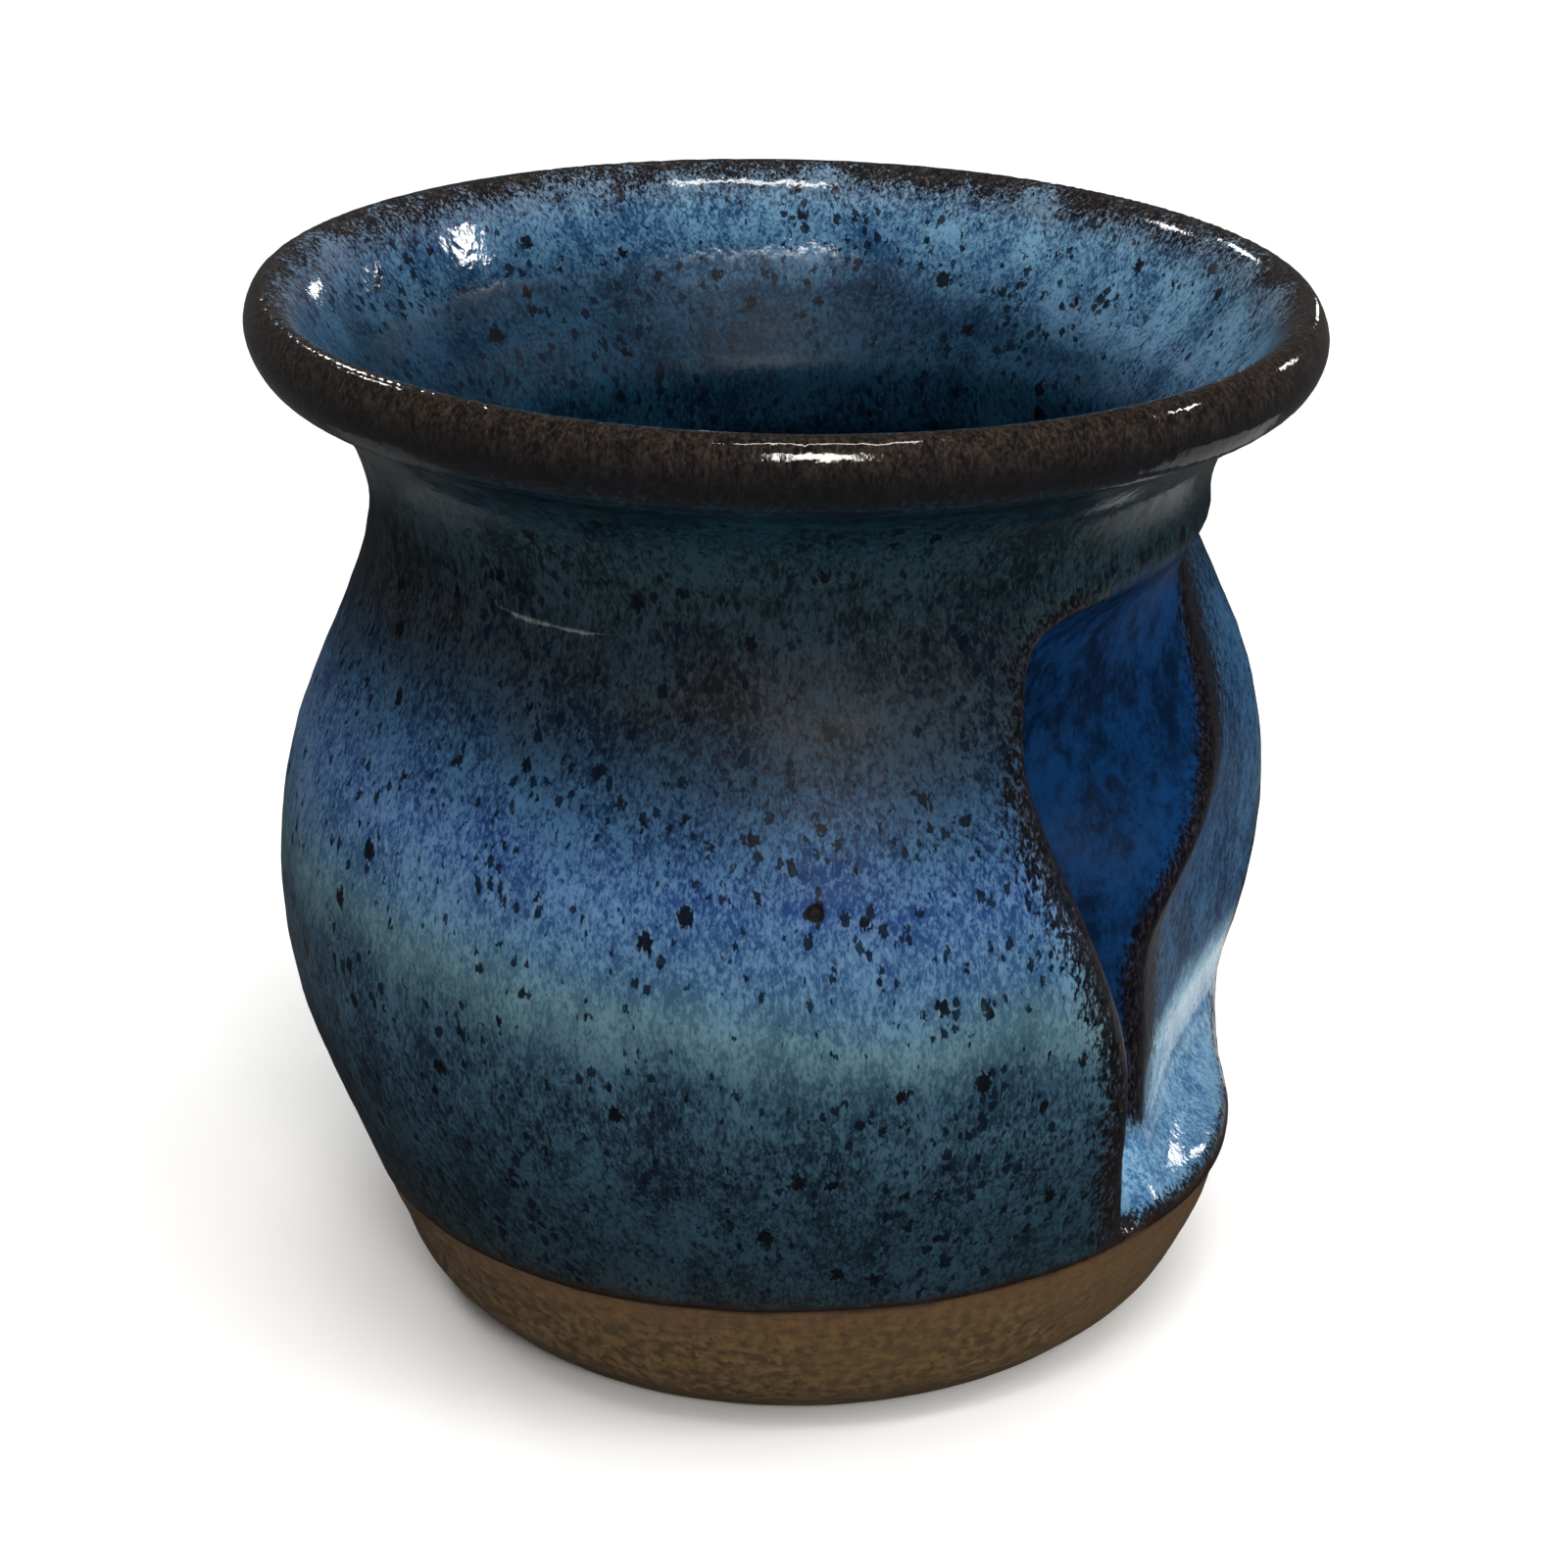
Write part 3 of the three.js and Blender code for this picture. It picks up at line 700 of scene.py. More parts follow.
FOOT_HOLLOW = [[0, 2.2], [12, 2.15], [24.2, 2.0], [26.2, 1.4], [27.2, 0.7], [28.4, 0.0]]
FOOT_RING = [[29.5, 0.0], [31.0, 0.0], [32.4, 0.0], [33.2, 0.0], [33.8, 0.12], [34.3, 0.45]]
FOOT_INSET = 0.22       # the bare clay stands this far inside the glazed outline
UNDER_COAT = 0.66       # and this far under the cup's glaze


def foot_profile():
    """Section of the foot's clay as [radius, height], from the underside round to the floor."""
    under = spline_2d(FOOT_HOLLOW, 40)
    heights = np.arange(0.9, GLAZE_LINE - 0.3, 0.22)
    side = np.stack([body_radius(heights) - FOOT_INSET, heights], 1)
    top = GLAZE_LINE + 0.5
    tuck = [[body_radius(GLAZE_LINE) - 0.7, GLAZE_LINE - 0.05],
            [body_radius(top) - 0.75, top - 0.1], [body_radius(top) - 1.0, top]]
    lid = [[41.4, top], [body_radius(top) - WALL + 0.65, top]]
    walls = np.arange(top - 0.6, FLOOR_HEIGHT, -0.8)
    inner_radius = np.minimum(body_radius(walls) - WALL, bowl_radius(walls))
    inner = np.stack([inner_radius + UNDER_COAT, walls], 1)
    floor_z = FLOOR_HEIGHT - UNDER_COAT
    floor = [[21, floor_z + 0.1], [19, floor_z], [10, floor_z], [0, floor_z]]
    return np.concatenate([under, FOOT_RING, side, tuck, lid, inner, floor])


GROOVES = 46
GROOVE_HEIGHTS, GROOVE_DEPTHS, GROOVE_WIDTHS = (1.4, 15.6), (0.02, 0.07), (0.12, 0.35)


def make_foot():
    """The foot turned from its section, with the grooves that the trimming tool leaves."""
    profile = foot_profile()
    turns = 256
    rng = np.random.default_rng(7)
    angles = np.arange(turns) / turns * 2 * math.pi
    r = np.repeat(profile[1:-1, 0][None, :], turns, 0)
    z = np.repeat(profile[1:-1, 1][None, :], turns, 0)
    turned = (z > 0.8) & (z < GLAZE_LINE - 0.4) & (r > 33)
    lines = [[float(rng.uniform(*span)) for span in
              (GROOVE_HEIGHTS, GROOVE_DEPTHS, GROOVE_WIDTHS, (0, 6.28))] for _ in range(GROOVES)]
    groove = np.zeros_like(z)
    for height, depth, width, phase in lines:
        strength = 0.55 + 0.45 * np.sin(angles + phase) * np.sin(angles * 3 + phase * 2)
        wander = 0.10 * np.sin(angles + phase)
        away = z - height - wander[:, None]
        groove += depth * strength[:, None] * np.exp(-(away / width) ** 2)
    facets = 0.12 * np.sin(z * 0.8 + angles[:, None] + 0.5)
    facets = facets * smoothstep(z, 1, 4) * (1 - smoothstep(z, 13, 15.5))
    r = r - np.where(turned, groove + facets, 0)
    rings_below = (z < 2.6) & (r < 27)
    z = z + np.where(rings_below, 0.10 * np.sin(r * 2.1) * smoothstep(r, 1, 5), 0)
    a = angles[:, None]
    points = np.stack([r * np.sin(a), -r * np.cos(a), z], -1).reshape(-1, 3)
    rows = r.shape[1]
    poles = np.array([[0, 0, profile[0, 1]], [0, 0, profile[-1, 1]]])
    faces = []
    bottom, top = len(points), len(points) + 1
    for i in range(turns):
        n = (i + 1) % turns
        for j in range(rows - 1):
            faces.append([i * rows + j, n * rows + j, n * rows + j + 1, i * rows + j + 1])
        faces.append([bottom, n * rows, i * rows])
        faces.append([top, i * rows + rows - 1, n * rows + rows - 1])
    everything = np.concatenate([points, poles])
    return add_mesh("foot_clay", everything, faces, {"height": everything[:, 2]})


# ---- Materials ----


class Nodes:
    """Short calls for building a material's node tree."""

    def __init__(self, name):
        self.material = bpy.data.materials.new(name)
        self.material.use_nodes = True
        self.tree = self.material.node_tree
        self.shader = self.tree.nodes["Principled BSDF"]
        self.position = self.node("ShaderNodeTexCoord").outputs["Object"]

    def link(self, value, socket):
        if isinstance(value, bpy.types.NodeSocket):
            self.tree.links.new(value, socket)
        else:
            socket.default_value = value

    def node(self, kind, inputs=None, **settings):
        """Adds a node; inputs has a number or another node's output for each socket."""
        made = self.tree.nodes.new(kind)
        for key, value in settings.items():
            setattr(made, key, value)
        for key, value in (inputs or {}).items():
            self.link(value, made.inputs[key])
        return made

    def math(self, operation, a, b=0.0):
        return self.node("ShaderNodeMath", {0: a, 1: b}, operation=operation).outputs[0]

    def add(self, a, b):
        return self.math("ADD", a, b)

    def less(self, a, b):
        return self.math("SUBTRACT", a, b)

    def times(self, a, b):
        return self.math("MULTIPLY", a, b)

    def most(self, a, b):
        return self.math("MAXIMUM", a, b)

    def swing(self, pattern, reach):
        """A pattern about its middle value, spread over the given reach."""
        return self.times(self.less(pattern, 0.5), reach)

    def ramp(self, value, low, high, out_low=0.0, out_high=1.0, kind="SMOOTHSTEP"):
        numbers = dict(enumerate((value, low, high, out_low, out_high)))
        return self.node("ShaderNodeMapRange", numbers, interpolation_type=kind).outputs[0]

    def fall(self, value, low, high):
        return self.ramp(value, low, high, 1.0, 0.0)

    def attribute(self, name):
        return self.node("ShaderNodeAttribute", attribute_name=name).outputs["Fac"]

    def mapped(self, scale=(1, 1, 1), shift=(0, 0, 0)):
        inputs = {"Vector": self.position, "Scale": scale, "Location": shift}
        return self.node("ShaderNodeMapping", inputs).outputs[0]

    def noise(self, vector, scale, detail=4.0, rough=0.55, distort=0.0):
        inputs = {"Vector": vector, "Scale": scale, "Detail": detail, "Roughness": rough,
                  "Distortion": distort}
        return self.node("ShaderNodeTexNoise", inputs).outputs["Fac"]

    def voronoi(self, vector, scale):
        return self.node("ShaderNodeTexVoronoi", {"Vector": vector, "Scale": scale})

    def gradient(self, value, stops, low, high):
        """A colour for each value between low and high, from [value, sRGB colour] stops."""
        share = self.ramp(value, low, high, kind="LINEAR")
        made = self.node("ShaderNodeValToRGB", {"Fac": share})
        elements = made.color_ramp.elements
        while len(elements) < len(stops):
            elements.new(0.5)
        for element, (at, _) in zip(elements, stops):
            element.position = (at - low) / (high - low)
        for element, (at, colour) in zip(elements, stops):
            element.position = (at - low) / (high - low)
            element.color = (*linear(colour), 1)
        return made.outputs["Color"]

    def mix(self, factor, a, b):
        a, b = (c if isinstance(c, bpy.types.NodeSocket) else (*linear(c), 1) for c in (a, b))
        inputs = {"Factor": factor, 6: a, 7: b}
        return self.node("ShaderNodeMix", inputs, data_type="RGBA").outputs[2]

    def bump(self, height, strength, distance):
        inputs = {"Height": height, "Strength": strength, "Distance": distance}
        self.link(self.node("ShaderNodeBump", inputs).outputs[0], self.shader.inputs["Normal"])


def linear(colour):
    """An sRGB colour given as 0-255 numbers, as linear light."""
    shares = [value / 255 for value in colour]
    return [c / 12.92 if c <= 0.04045 else ((c + 0.055) / 1.055) ** 2.4 for c in shares]


# Raw stoneware, as sRGB colours
CLAY_DARK, CLAY_LIGHT = (58, 43, 21), (87, 66, 34)
CLAY_PATCH = (77, 57, 29)
CLAY_SPECK = (34, 22, 12)
# The kiln's flash on the clay below the glaze line, and the stain at the line itself
CLAY_FLASH, CLAY_HALO = (78, 53, 28), (36, 20, 10)
FLASH_DEPTH = 4.5
HALO_WIDTH = 0.9


def clay_material(name):
    n = Nodes(name)
    fine = n.noise(n.mapped(), 900, 5, 0.65)
    turned = n.noise(n.mapped((0.12, 0.12, 3.2)), 420, 4, 0.6)
    patch = n.noise(n.mapped(), 38, 3, 0.5)
    blend = n.add(n.times(fine, 0.85), n.times(turned, 0.15))
    colour = n.mix(n.ramp(blend, 0.38, 0.64), CLAY_DARK, CLAY_LIGHT)
    colour = n.mix(n.ramp(patch, 0.45, 0.75), colour, CLAY_PATCH)
    dots = n.voronoi(n.mapped(), 620).outputs["Distance"]
    colour = n.mix(n.ramp(dots, 0.08, 0.18, 0.55, 0.0), colour, CLAY_SPECK)
    edge = n.add(n.attribute("height"), n.times(n.noise(n.mapped(), 160, 3), 1.6))
    flash = n.ramp(edge, GLAZE_LINE - FLASH_DEPTH, GLAZE_LINE + 0.4)
    colour = n.mix(n.times(flash, 0.6), colour, CLAY_FLASH)
    halo = n.ramp(edge, GLAZE_LINE, GLAZE_LINE + HALO_WIDTH)
    colour = n.mix(n.times(halo, 0.8), colour, CLAY_HALO)
    n.link(colour, n.shader.inputs["Base Color"])
    n.link(n.ramp(fine, 0.3, 0.7, 0.62, 0.86), n.shader.inputs["Roughness"])
    n.bump(n.add(n.times(fine, 0.8), n.times(turned, 0.25)), 0.5, 0.00025)
    n.shader.inputs["Specular IOR Level"].default_value = 0.3
    return n.material


# Colour of the glaze outside at each height: the dark ground and the light flecks over it; low
# down it darkens towards the foot, partly the glaze's own dark tone and partly painted shade
OUTSIDE = [
    (15, (14, 20, 24), (34, 42, 44)), (20, (8, 22, 30), (26, 47, 57)),
    (30, (7, 20, 29), (30, 56, 70)), (38, (8, 24, 38), (40, 68, 84)),
    (43, (16, 38, 54), (46, 74, 90)), (48.5, (46, 74, 88), (76, 104, 114)),
    (53, (34, 64, 94), (75, 107, 131)), (60, (20, 48, 92), (74, 104, 137)),
    (66, (13, 34, 62), (52, 84, 114)), (71, (9, 22, 38), (35, 57, 77)),
    (76, (9, 14, 20), (33, 45, 54)), (81, (8, 16, 22), (30, 43, 52)),
    (87, (3, 14, 20), (23, 45, 52)), (96, (2, 11, 17), (16, 37, 45)),
]
# Colour of the glaze inside the cup at each height: it darkens down into the cup as painted shade
# and is palest near the lip
INSIDE = [
    (8, (1, 8, 22), (8, 30, 50)), (74, (3, 16, 32), (14, 42, 62)),
    (84, (4, 20, 36), (15, 43, 61)), (92, (5, 24, 41), (24, 53, 74)),
    (98, (20, 52, 84), (76, 110, 136)), (103, (28, 64, 98), (104, 144, 170)),
]
# The other glaze colours, each as its ground and its flecks
WARM_PATCH = (13, 11, 10), (49, 44, 39)
# The pocket's deep blue glaze, darkened as painted shade under the collar's overhang
POCKET_BLUE_AND_SHADE = (2, 19, 42), (6, 44, 84)
PALM_BLUE = (8, 32, 60), (44, 80, 112)
# Pale pooled glaze above the sill: its upper colour is paler as a painted highlight along the top
# of the pool, and it grows darker towards the bottom
POOL_LOW = (50, 90, 128), (112, 150, 176)
POOL_HIGH_AND_HIGHLIGHT = (88, 128, 154), (150, 186, 200)
POOL_BOTTOM = (30, 62, 96)
IRON = (6, 6, 8), (40, 31, 27)
LIP_FRINGE = (40, 42, 56), (92, 94, 106)
LIP_GROUND, LIP_WORN, LIP_UNDER = (10, 9, 10), (60, 50, 42), (17, 16, 20)
# Pale grey laid along the fine raised line as a painted highlight
SCAR_HIGHLIGHT_GREY = (112, 118, 116)
PIT_BROWN = (24, 18, 14)
FOOT_LINE_BROWN = (34, 22, 16)

# Dark dots: [colour, strength, density, share of cells, largest size, raggedness, stretch, shift]
MANY_DOTS = (3, 12, 26), 0.88, 900, 0.6, 0.50, 1.3, (1, 1, 0.6), (1, 4, 2)
MIDDLE_DOTS = (3, 10, 20), 0.92, 520, 0.4, 0.34, 1.1, (1, 1, 0.7), (3, 8, 6)
BIG_DOTS = (4, 6, 12), 0.95, 300, 0.5, 0.25, 0.7, (1, 1, 0.75), (5.4, 3.1, 8)
DOTS_IN_RECESS = 0.25

# Where the glaze breaks to brown: how wide it is beside each line, and how far it fades, in mm
FLAP_BREAK = 3.4, 1.5
RIDGE_BREAK = 2.2, 2.4
FAR_BREAK = 0.7, 1.0
SILL_BREAK = 0.9, 0.8
LIP_CREST = 104.5
LIP_OUTSIDE = 5.6, 2.4
LIP_INSIDE = 0.4, 1.8
FRINGE_WIDTH = 2.0, 3.0
FUZZ = 11.0         # how far the flecks push these edges in and out
SCAR_WIDTH = 0.20, 0.38
PIT_EDGE = 0.75, 1.0

# How the gloss changes from the satin body to the wet lip and pool
SATIN_ROUGHNESS, WET_ROUGHNESS = 0.42, 0.06
SATIN_SPECULAR, WET_SPECULAR = 0.09, 0.5
MEAN_SPECULAR = 0.2
NECK_GLOSS = 0.62
FLAP_GLOSS = 0.35
WET_RELIEF = 0.55


class Glaze(Nodes):
    """The glaze's node tree, with the patterns and places that its layers share."""

    def __init__(self, name):
        super().__init__(name)
        self.height = self.attribute("height")
        self.inside = self.attribute("inside")
        self.outside = self.less(1.0, self.inside)
        self.recess = self.attribute("recess")
        self.past_ridge = self.attribute("past_ridge")
        self.far_line = self.attribute("far_line")
        self.below_lip = self.less(LIP_CREST, self.height)
        self.cloud = self.noise(self.mapped((1, 1, 0.7), (7, 2, 5)), 130, 3, 0.55)
        self.clump = self.noise(self.mapped((1, 1, 0.6), (6, 1, 3)), 620, 3, 0.6)
        streak = self.noise(self.mapped((1, 1, 0.45)), 2300, 4, 0.62, 0.6)
        fleck = self.noise(self.mapped((1, 1, 0.5), (3, 1, 2)), 4200, 2, 0.5)
        self.grain = self.add(self.times(streak, 0.7), self.times(fleck, 0.3))
        light = self.add(self.grain, self.swing(self.cloud, 0.34))
        light = self.add(light, self.swing(self.clump, 0.30))
        self.flecks = self.ramp(light, 0.37, 0.64)
        self.wander = self.swing(self.cloud, 9.0)
        self.fuzz = self.swing(self.grain, FUZZ)
        self.level = self.tilted_level()
        beside = self.ramp(self.past_ridge, -1, 6)
        self.beside = self.most(beside, self.fall(self.height, 22, 27))

    def tilted_level(self):
        """The height that the bands of colour follow: it tilts and wanders round the pot."""
        split = self.node("ShaderNodeSeparateXYZ", {0: self.position})
        level = self.add(self.height, self.times(split.outputs[0], 80.0))
        broad = self.noise(self.mapped(), 30, 3, 0.5)
        level = self.add(level, self.swing(broad, 8.0))
        return self.add(level, self.swing(self.cloud, 5.0))

    def flecked(self, pair):
        return self.mix(self.flecks, *pair)


def banded(n, table, low, high=110):
    """The colour at each height from a table of [height, ground, flecks]."""
    ground = n.gradient(n.level, [(at, dark) for at, dark, _ in table], low, high)
    flecks = n.gradient(n.level, [(at, light) for at, _, light in table], low, high)
    return n.flecked((ground, flecks))


def body_colour(n):
    warm = n.times(n.ramp(n.height, 68, 77), n.fall(n.height, 78, 86))
    patches = n.noise(n.mapped((1, 1, 1.6), (2.014, 9, 4)), 70, 2)
    warm = n.times(warm, n.ramp(patches, 0.48, 0.66))
    outside = n.mix(n.times(warm, 0.27), banded(n, OUTSIDE, 10), n.flecked(WARM_PATCH))
    # Inside the cup the colour darkens with depth as painted shade
    return n.mix(n.inside, outside, banded(n, INSIDE, 0))


def recess_colour(n):
    """Deep blue in the pocket, darkened as painted shade, a paler palm rest, and the pool above
    the sill, paler at its top as a painted highlight.
    """
    calm = n.add(n.times(n.grain, 0.3), n.times(n.cloud, 0.35))
    calm = n.ramp(n.add(calm, n.times(n.clump, 0.35)), 0.40, 0.60)
    # Paler towards the pool's top as a painted highlight, darker towards its bottom
    pool = n.mix(n.ramp(n.height, 23, 28), n.flecked(POOL_LOW), n.flecked(POOL_HIGH_AND_HIGHLIGHT))
    pool = n.mix(n.ramp(n.height, 16.5, 21, 0.55, 0.0), pool, POOL_BOTTOM)
    in_pool = n.fall(n.add(n.height, n.swing(n.cloud, 6.0)), 28.5, 33.5)
    palm = n.mix(in_pool, n.flecked(PALM_BLUE), pool)
    # The pocket's colour carries painted shade
    return n.mix(n.beside, n.mix(calm, *POCKET_BLUE_AND_SHADE), palm)


def with_recess(n, colour):
    """Lays the recess colour over the rest, with a wandering edge round the palm rest."""
    palm = n.times(n.ramp(n.add(n.far_line, n.wander), -1.0, 5.0),
                   n.fall(n.add(n.height, n.wander), 66, 81))
    share = n.most(palm, n.fall(n.past_ridge, -3.0, 1.0))
    return n.mix(n.times(n.recess, share), colour, recess_colour(n))


def dotted(n, colour, keep, kind):
    """Ragged dots: a share of the cells of a Voronoi pattern, smaller where keep is low."""
    dark, strength, density, share, largest, ragged, stretch, shift = kind
    cells = n.voronoi(n.mapped(stretch, shift), density)
    pick = n.node("ShaderNodeSeparateColor", {0: cells.outputs["Color"]}).outputs[0]
    size = n.most(n.ramp(pick, 1 - share, 1.0, kind="LINEAR"), 0.0)
    size = n.times(n.math("POWER", size, 0.6), largest)
    edge = n.times(n.swing(n.grain, 0.9), ragged)
    away = n.less(n.add(cells.outputs["Distance"], edge), n.times(size, keep))
    dot = n.times(n.fall(away, -0.03, 0.03), n.ramp(keep, 0.25, 0.4))
    return n.mix(n.times(dot, strength), colour, dark)


def with_dots(n, colour):
    """Fewer dots in some broad patches, on the pale band and in the recess."""
    sparse = n.ramp(n.noise(n.mapped(shift=(4, 4, 1)), 95, 2), 0.40, 0.60, 0.5, 1.0)
    off_band = n.most(n.ramp(n.level, 47, 50, 0.3, 1.0), n.ramp(n.level, 43, 47, 1.0, 0.3))
    bare = n.less(1.0, n.times(n.recess, 1 - DOTS_IN_RECESS))
    keep = n.times(n.times(sparse, n.math("MINIMUM", off_band, 1.0)), bare)
    colour = dotted(n, dotted(n, colour, keep, MANY_DOTS), keep, MIDDLE_DOTS)
    return dotted(n, colour, bare, BIG_DOTS)


def band(n, value, core, fade):
    """Full up to the core distance, then gone over the fade, with a fuzzy edge."""
    return n.fall(n.add(value, n.fuzz), core, core + fade)


def flap_break(n):
    narrower = n.ramp(n.height, 60, 78, 0.0, 2.2)
    return band(n, n.add(n.attribute("flap_line"), narrower), *FLAP_BREAK)


def with_breaks(n, colour):
    """Brown where the glaze runs thin: the flap's edge, the ridge, the palm and the sill."""
    far = n.add(n.far_line, n.times(n.wander, 0.25))
    far = n.add(far, n.ramp(n.height, 30, 44, -1.3, 0.0))
    sill = n.add(n.attribute("sill_line"), n.times(n.fuzz, -0.6))
    breaks = flap_break(n)
    for line, reach in ((n.attribute("ridge_line"), RIDGE_BREAK), (far, FAR_BREAK),
                        (sill, SILL_BREAK)):
        breaks = n.most(breaks, band(n, line, *reach))
    iron = n.mix(n.ramp(n.grain, 0.44, 0.64), *IRON)
    return n.mix(n.times(breaks, 0.94), colour, iron)


def with_lip(n, colour):
    outer = band(n, n.below_lip, *LIP_OUTSIDE)
    inner = band(n, n.add(n.below_lip, n.swing(n.cloud, 8.0)), *LIP_INSIDE)
    lip = n.add(n.times(outer, n.outside), n.times(inner, n.inside))
    worn = n.mix(n.ramp(n.below_lip, 0.5, 5.0), LIP_WORN, LIP_UNDER)
    mottle = n.add(n.times(n.grain, 0.8), n.times(n.clump, 0.2))
    brown = n.mix(n.ramp(mottle, 0.38, 0.74), LIP_GROUND, worn)
    fringe = n.times(band(n, n.below_lip, *FRINGE_WIDTH), n.inside)
    colour = n.mix(n.times(fringe, 0.55), colour, n.flecked(LIP_FRINGE))
    return n.mix(n.times(lip, 0.96), colour, brown)


def with_marks(n, colour):
    """The fine raised line with its painted highlight, the burst bubble and the brown edge at the
    glaze line.
    """
    across = n.add(n.attribute("scar_across"), n.swing(n.clump, 0.5))
    along = n.math("ABSOLUTE", n.attribute("scar_along"))
    width = n.times(n.less(1.0, n.math("POWER", along, 3.0)),
                    n.ramp(n.clump, 0.35, 0.65, *SCAR_WIDTH))
    # Painted highlight along the fine raised line
    scar = n.ramp(n.less(width, n.math("ABSOLUTE", across)), 0.0, 0.3, 0.0, 0.6)
    scar = n.times(scar, n.ramp(n.grain, 0.4, 0.6, 0.4, 1.0))
    scar = n.times(scar, n.math("LESS_THAN", along, 1.0))
    colour = n.mix(n.times(scar, n.outside), colour, SCAR_HIGHLIGHT_GREY)
    colour = n.mix(n.ramp(n.attribute("pit"), *PIT_EDGE, 0.95, 0.0), colour, PIT_BROWN)
    line = n.add(n.height, n.times(n.fuzz, 0.1))
    line = n.times(n.fall(line, GLAZE_LINE + 0.1, GLAZE_LINE + 1.3), n.outside)
    return n.mix(n.times(line, 0.9), colour, FOOT_LINE_BROWN)


def gloss(n):
    """Glossy on the lip, the neck and the wet pool, satin on the body."""
    wet = n.times(n.times(n.fall(n.height, 27, 31), n.recess), n.beside)
    neck = n.ramp(n.below_lip, 14.0, 20.0, NECK_GLOSS, 0.0)
    near_lip = n.times(n.most(neck, n.fall(n.below_lip, 5.5, 8.5)), n.outside)
    near_lip = n.most(near_lip, n.times(n.fall(n.below_lip, 7.0, 10.5), n.inside))
    return n.most(n.most(n.times(flap_break(n), FLAP_GLOSS), near_lip), wet)


def glaze_material(name):
    n = Glaze(name)
    colour = with_dots(n, with_recess(n, body_colour(n)))
    colour = with_marks(n, with_lip(n, with_breaks(n, colour)))
    n.link(colour, n.shader.inputs["Base Color"])
    glossy = gloss(n)
    satin = n.ramp(glossy, 0.0, 1.0, SATIN_ROUGHNESS, WET_ROUGHNESS)
    n.link(n.add(satin, n.swing(n.grain, 0.08)), n.shader.inputs["Roughness"])
    dull = n.add(n.times(n.inside, 0.07), n.times(n.recess, -0.05))
    dull = n.add(SATIN_SPECULAR, dull)
    n.shader.inputs["Specular IOR Level"].default_value = MEAN_SPECULAR
    n.link(n.ramp(glossy, 0.0, 1.0, dull, WET_SPECULAR), n.shader.inputs["Specular IOR Level"])
    n.shader.inputs["IOR"].default_value = 1.5
    peel = n.noise(n.mapped(), 700, 2, 0.5)
    relief = n.add(n.times(n.grain, 0.16), n.add(n.times(n.cloud, 0.6), n.times(peel, 0.9)))
    relief = n.times(relief, n.ramp(glossy, 0.3, 1.0, 1.0, WET_RELIEF))
    n.bump(relief, 0.3, 0.0004)
    return n.material


# ---- The clay pieces under the coat ----

CLAY_GAP = 0.1          # each clay piece stops this far short of its neighbour


def make_clay(name, node, within, step, depth):
    """The clay at a depth under the surface, where within is negative."""
    def solid(p):
        b, r, h = polar(p)
        return np.maximum(field(p) + depth, within(b, r, h))

    vertices, quads = surface_nets([-54, -54, 14], [54, 54, 107], step, solid)
    piece = add_mesh(name, vertices, quads.tolist(), {"height": vertices[:, 2]})
    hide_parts(node)
    piece.data.materials.append(clay)
    return piece


def in_collar(b, r, h):
    return COLLAR_BASE + CLAY_GAP - h


def in_flap(b, r, h):
    return np.maximum(flap_distance(b, r, h) + CLAY_GAP, h - COLLAR_BASE + CLAY_GAP)


def in_cup(b, r, h):
    ends = np.maximum(h - COLLAR_BASE + CLAY_GAP, GLAZE_LINE + 0.8 - h)
    return np.maximum(ends, CLAY_GAP - flap_distance(b, r, h))


foot = make_foot()
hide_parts("foot")
clay = clay_material("raw_stoneware")
foot.data.materials.append(clay)

coat = make_glaze()
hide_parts("glaze_outside", "glaze_hand_recess", "glaze_flap_lining",
            "glaze_inside", "glaze_collar")
coat.data.materials.append(glaze_material("blue_stoneware_glaze"))
make_clay("clay_collar", "collar", in_collar, 1.7, 0.85)
make_clay("clay_flap", "pocket_flap", in_flap, 1.7, 0.75)
make_clay("clay_cup", "cup_wall", in_cup, 2.0, 0.85)

# ---- Stage, light and camera, in metres ----

FLOOR_LOOK = {"Base Color": (0.93, 0.93, 0.93, 1), "Roughness": 0.9, "Specular IOR Level": 0.1}
LAMP_COLOUR = (1, 0.97, 0.93)
LAMP_DISTANCE = 1.3
WORLD_STRENGTH = 0.07
CENTRE = (0, 0, 0.06)


def make_floor():
    mesh = bpy.data.meshes.new("floor")
    side = 4.0
    mesh.from_pydata([(-side, -side, 0), (side, -side, 0), (side, side, 0), (-side, side, 0)],
                     [], [(0, 1, 2, 3)])
    floor = bpy.data.objects.new("floor", mesh)
    bpy.context.scene.collection.objects.link(floor)
    material = bpy.data.materials.new("pale_floor")
    material.use_nodes = True
    for key, value in FLOOR_LOOK.items():
        material.node_tree.nodes["Principled BSDF"].inputs[key].default_value = value
    mesh.materials.append(material)
    floor.visible_glossy = False


def area_light(name, where, aim, size, power, colour=(1, 1, 1)):
    data = bpy.data.lights.new(name, "AREA")
    data.shape = "RECTANGLE"
    data.size, data.size_y = size
    data.energy = power
    data.color = colour
    lamp = bpy.data.objects.new(name, data)
    lamp.location = where
    lamp.rotation_euler = (Vector(aim) - Vector(where)).to_track_quat("-Z", "Y").to_euler()
    bpy.context.scene.collection.objects.link(lamp)
    return lamp


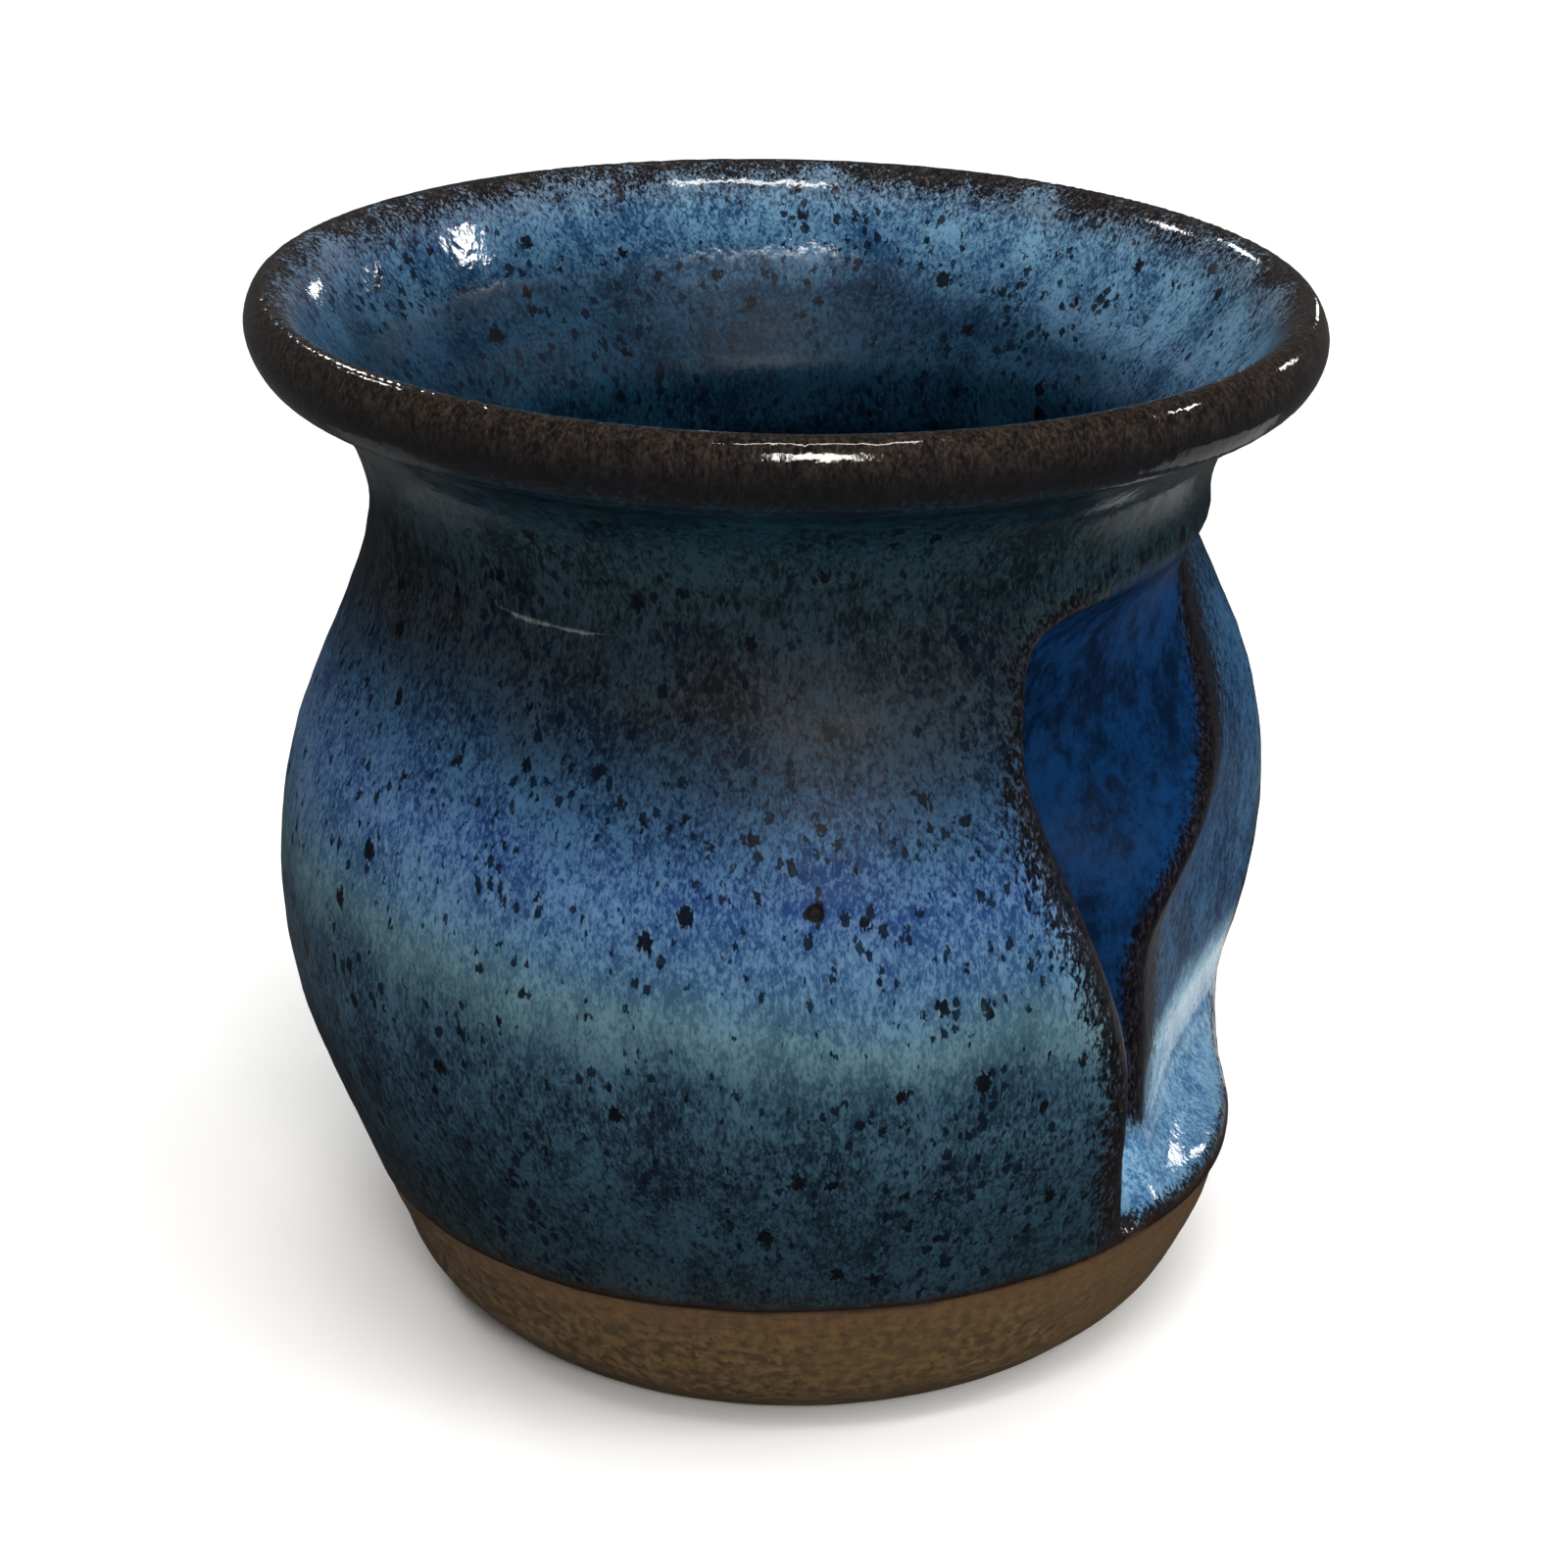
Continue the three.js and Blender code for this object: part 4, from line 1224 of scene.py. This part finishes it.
def make_camera():
    """Looks down about 22 degrees at the mug's front."""
    data = bpy.data.cameras.new("camera")
    data.sensor_width = 36
    data.lens = 91.95
    data.clip_start = 0.01
    camera = bpy.data.objects.new("camera", data)
    down = math.radians(22.49)
    distance, aim_height = 0.4063, 0.04992
    spot = Vector((0, -distance * math.cos(down), aim_height + distance * math.sin(down)))
    base = Matrix(((1, 0, 0), (0, math.sin(down), math.cos(down)),
                   (0, -math.cos(down), math.sin(down))))
    pitch = Matrix.Rotation(math.radians(-0.30), 3, "X")
    yaw = Matrix.Rotation(math.radians(-0.16), 3, "Y")
    roll = Matrix.Rotation(math.radians(1.03), 3, "Z")
    turn = (roll @ pitch @ yaw @ base).transposed()
    camera.matrix_world = Matrix.Translation(spot) @ turn.to_4x4()
    bpy.context.scene.collection.objects.link(camera)
    bpy.context.scene.camera = camera


def lamp_spot(bearing, rise, distance):
    """A place seen from the mug at a bearing (0 in front) and an angle above the floor."""
    b, e = math.radians(bearing), math.radians(rise)
    flat = distance * math.cos(e)
    return (flat * math.sin(b), -flat * math.cos(b), CENTRE[2] + distance * math.sin(e))


make_floor()
make_camera()
# Large soft lamps light the glaze without showing in it
SOFT = [
    area_light("overhead", lamp_spot(30, 82, 2.6), CENTRE, (3.2, 3.0), 80),
    area_light("front_fill", lamp_spot(12, 32, 1.6), CENTRE, (0.9, 0.9), 1.5),
    area_light("right_fill", lamp_spot(72, 26, 1.4), CENTRE, (0.7, 0.7), 5.2),
]
for lamp in SOFT:
    lamp.visible_glossy = False
# The lamps that show as highlights: [name, bearing, rise, width, height, power]
LAMPS = [
    ("right_lamp", 99, 31, 0.12, 0.09, 1.3), ("back_right_lamp", 130, 14, 0.07, 0.14, 0.5),
    ("back_lamp", 156, 5, 0.05, 0.10, 0.6), ("ceiling_row", 18, 66, 0.62, 0.10, 4.0),
    ("front_row", 8, 30, 0.34, 0.30, 8.0), ("back_left_lamp", 200, 32, 0.10, 0.10, 1.0),
    ("left_lamp", 224, 44, 0.12, 0.10, 1.0),
]
for label, bearing, rise, wide, tall, power in LAMPS:
    spot = lamp_spot(bearing, rise, LAMP_DISTANCE)
    area_light(label, spot, CENTRE, (wide, tall), power, LAMP_COLOUR)
# Bright patches of table beside the mug, seen only as reflections in its neck and pool
for label, where, size, power in [
    ("table_right", (0.135, 0.055, 0.001), (0.07, 0.12), 0.010),
    ("table_left", (-0.115, 0.045, 0.001), (0.05, 0.08), 0.0015),
    ("table_near", (0.069, 0.050, 0.001), (0.020, 0.030), 0.0012),
]:
    card = area_light(label, where, (where[0], where[1], 1), size, power)
    card.visible_camera = False
    card.visible_diffuse = False
world = bpy.data.worlds.new("studio")
bpy.context.scene.world = world
world.use_nodes = True
background = world.node_tree.nodes["Background"]
background.inputs["Color"].default_value = (1, 1, 1, 1)
background.inputs["Strength"].default_value = WORLD_STRENGTH
bpy.context.scene.view_settings.view_transform = "Standard"
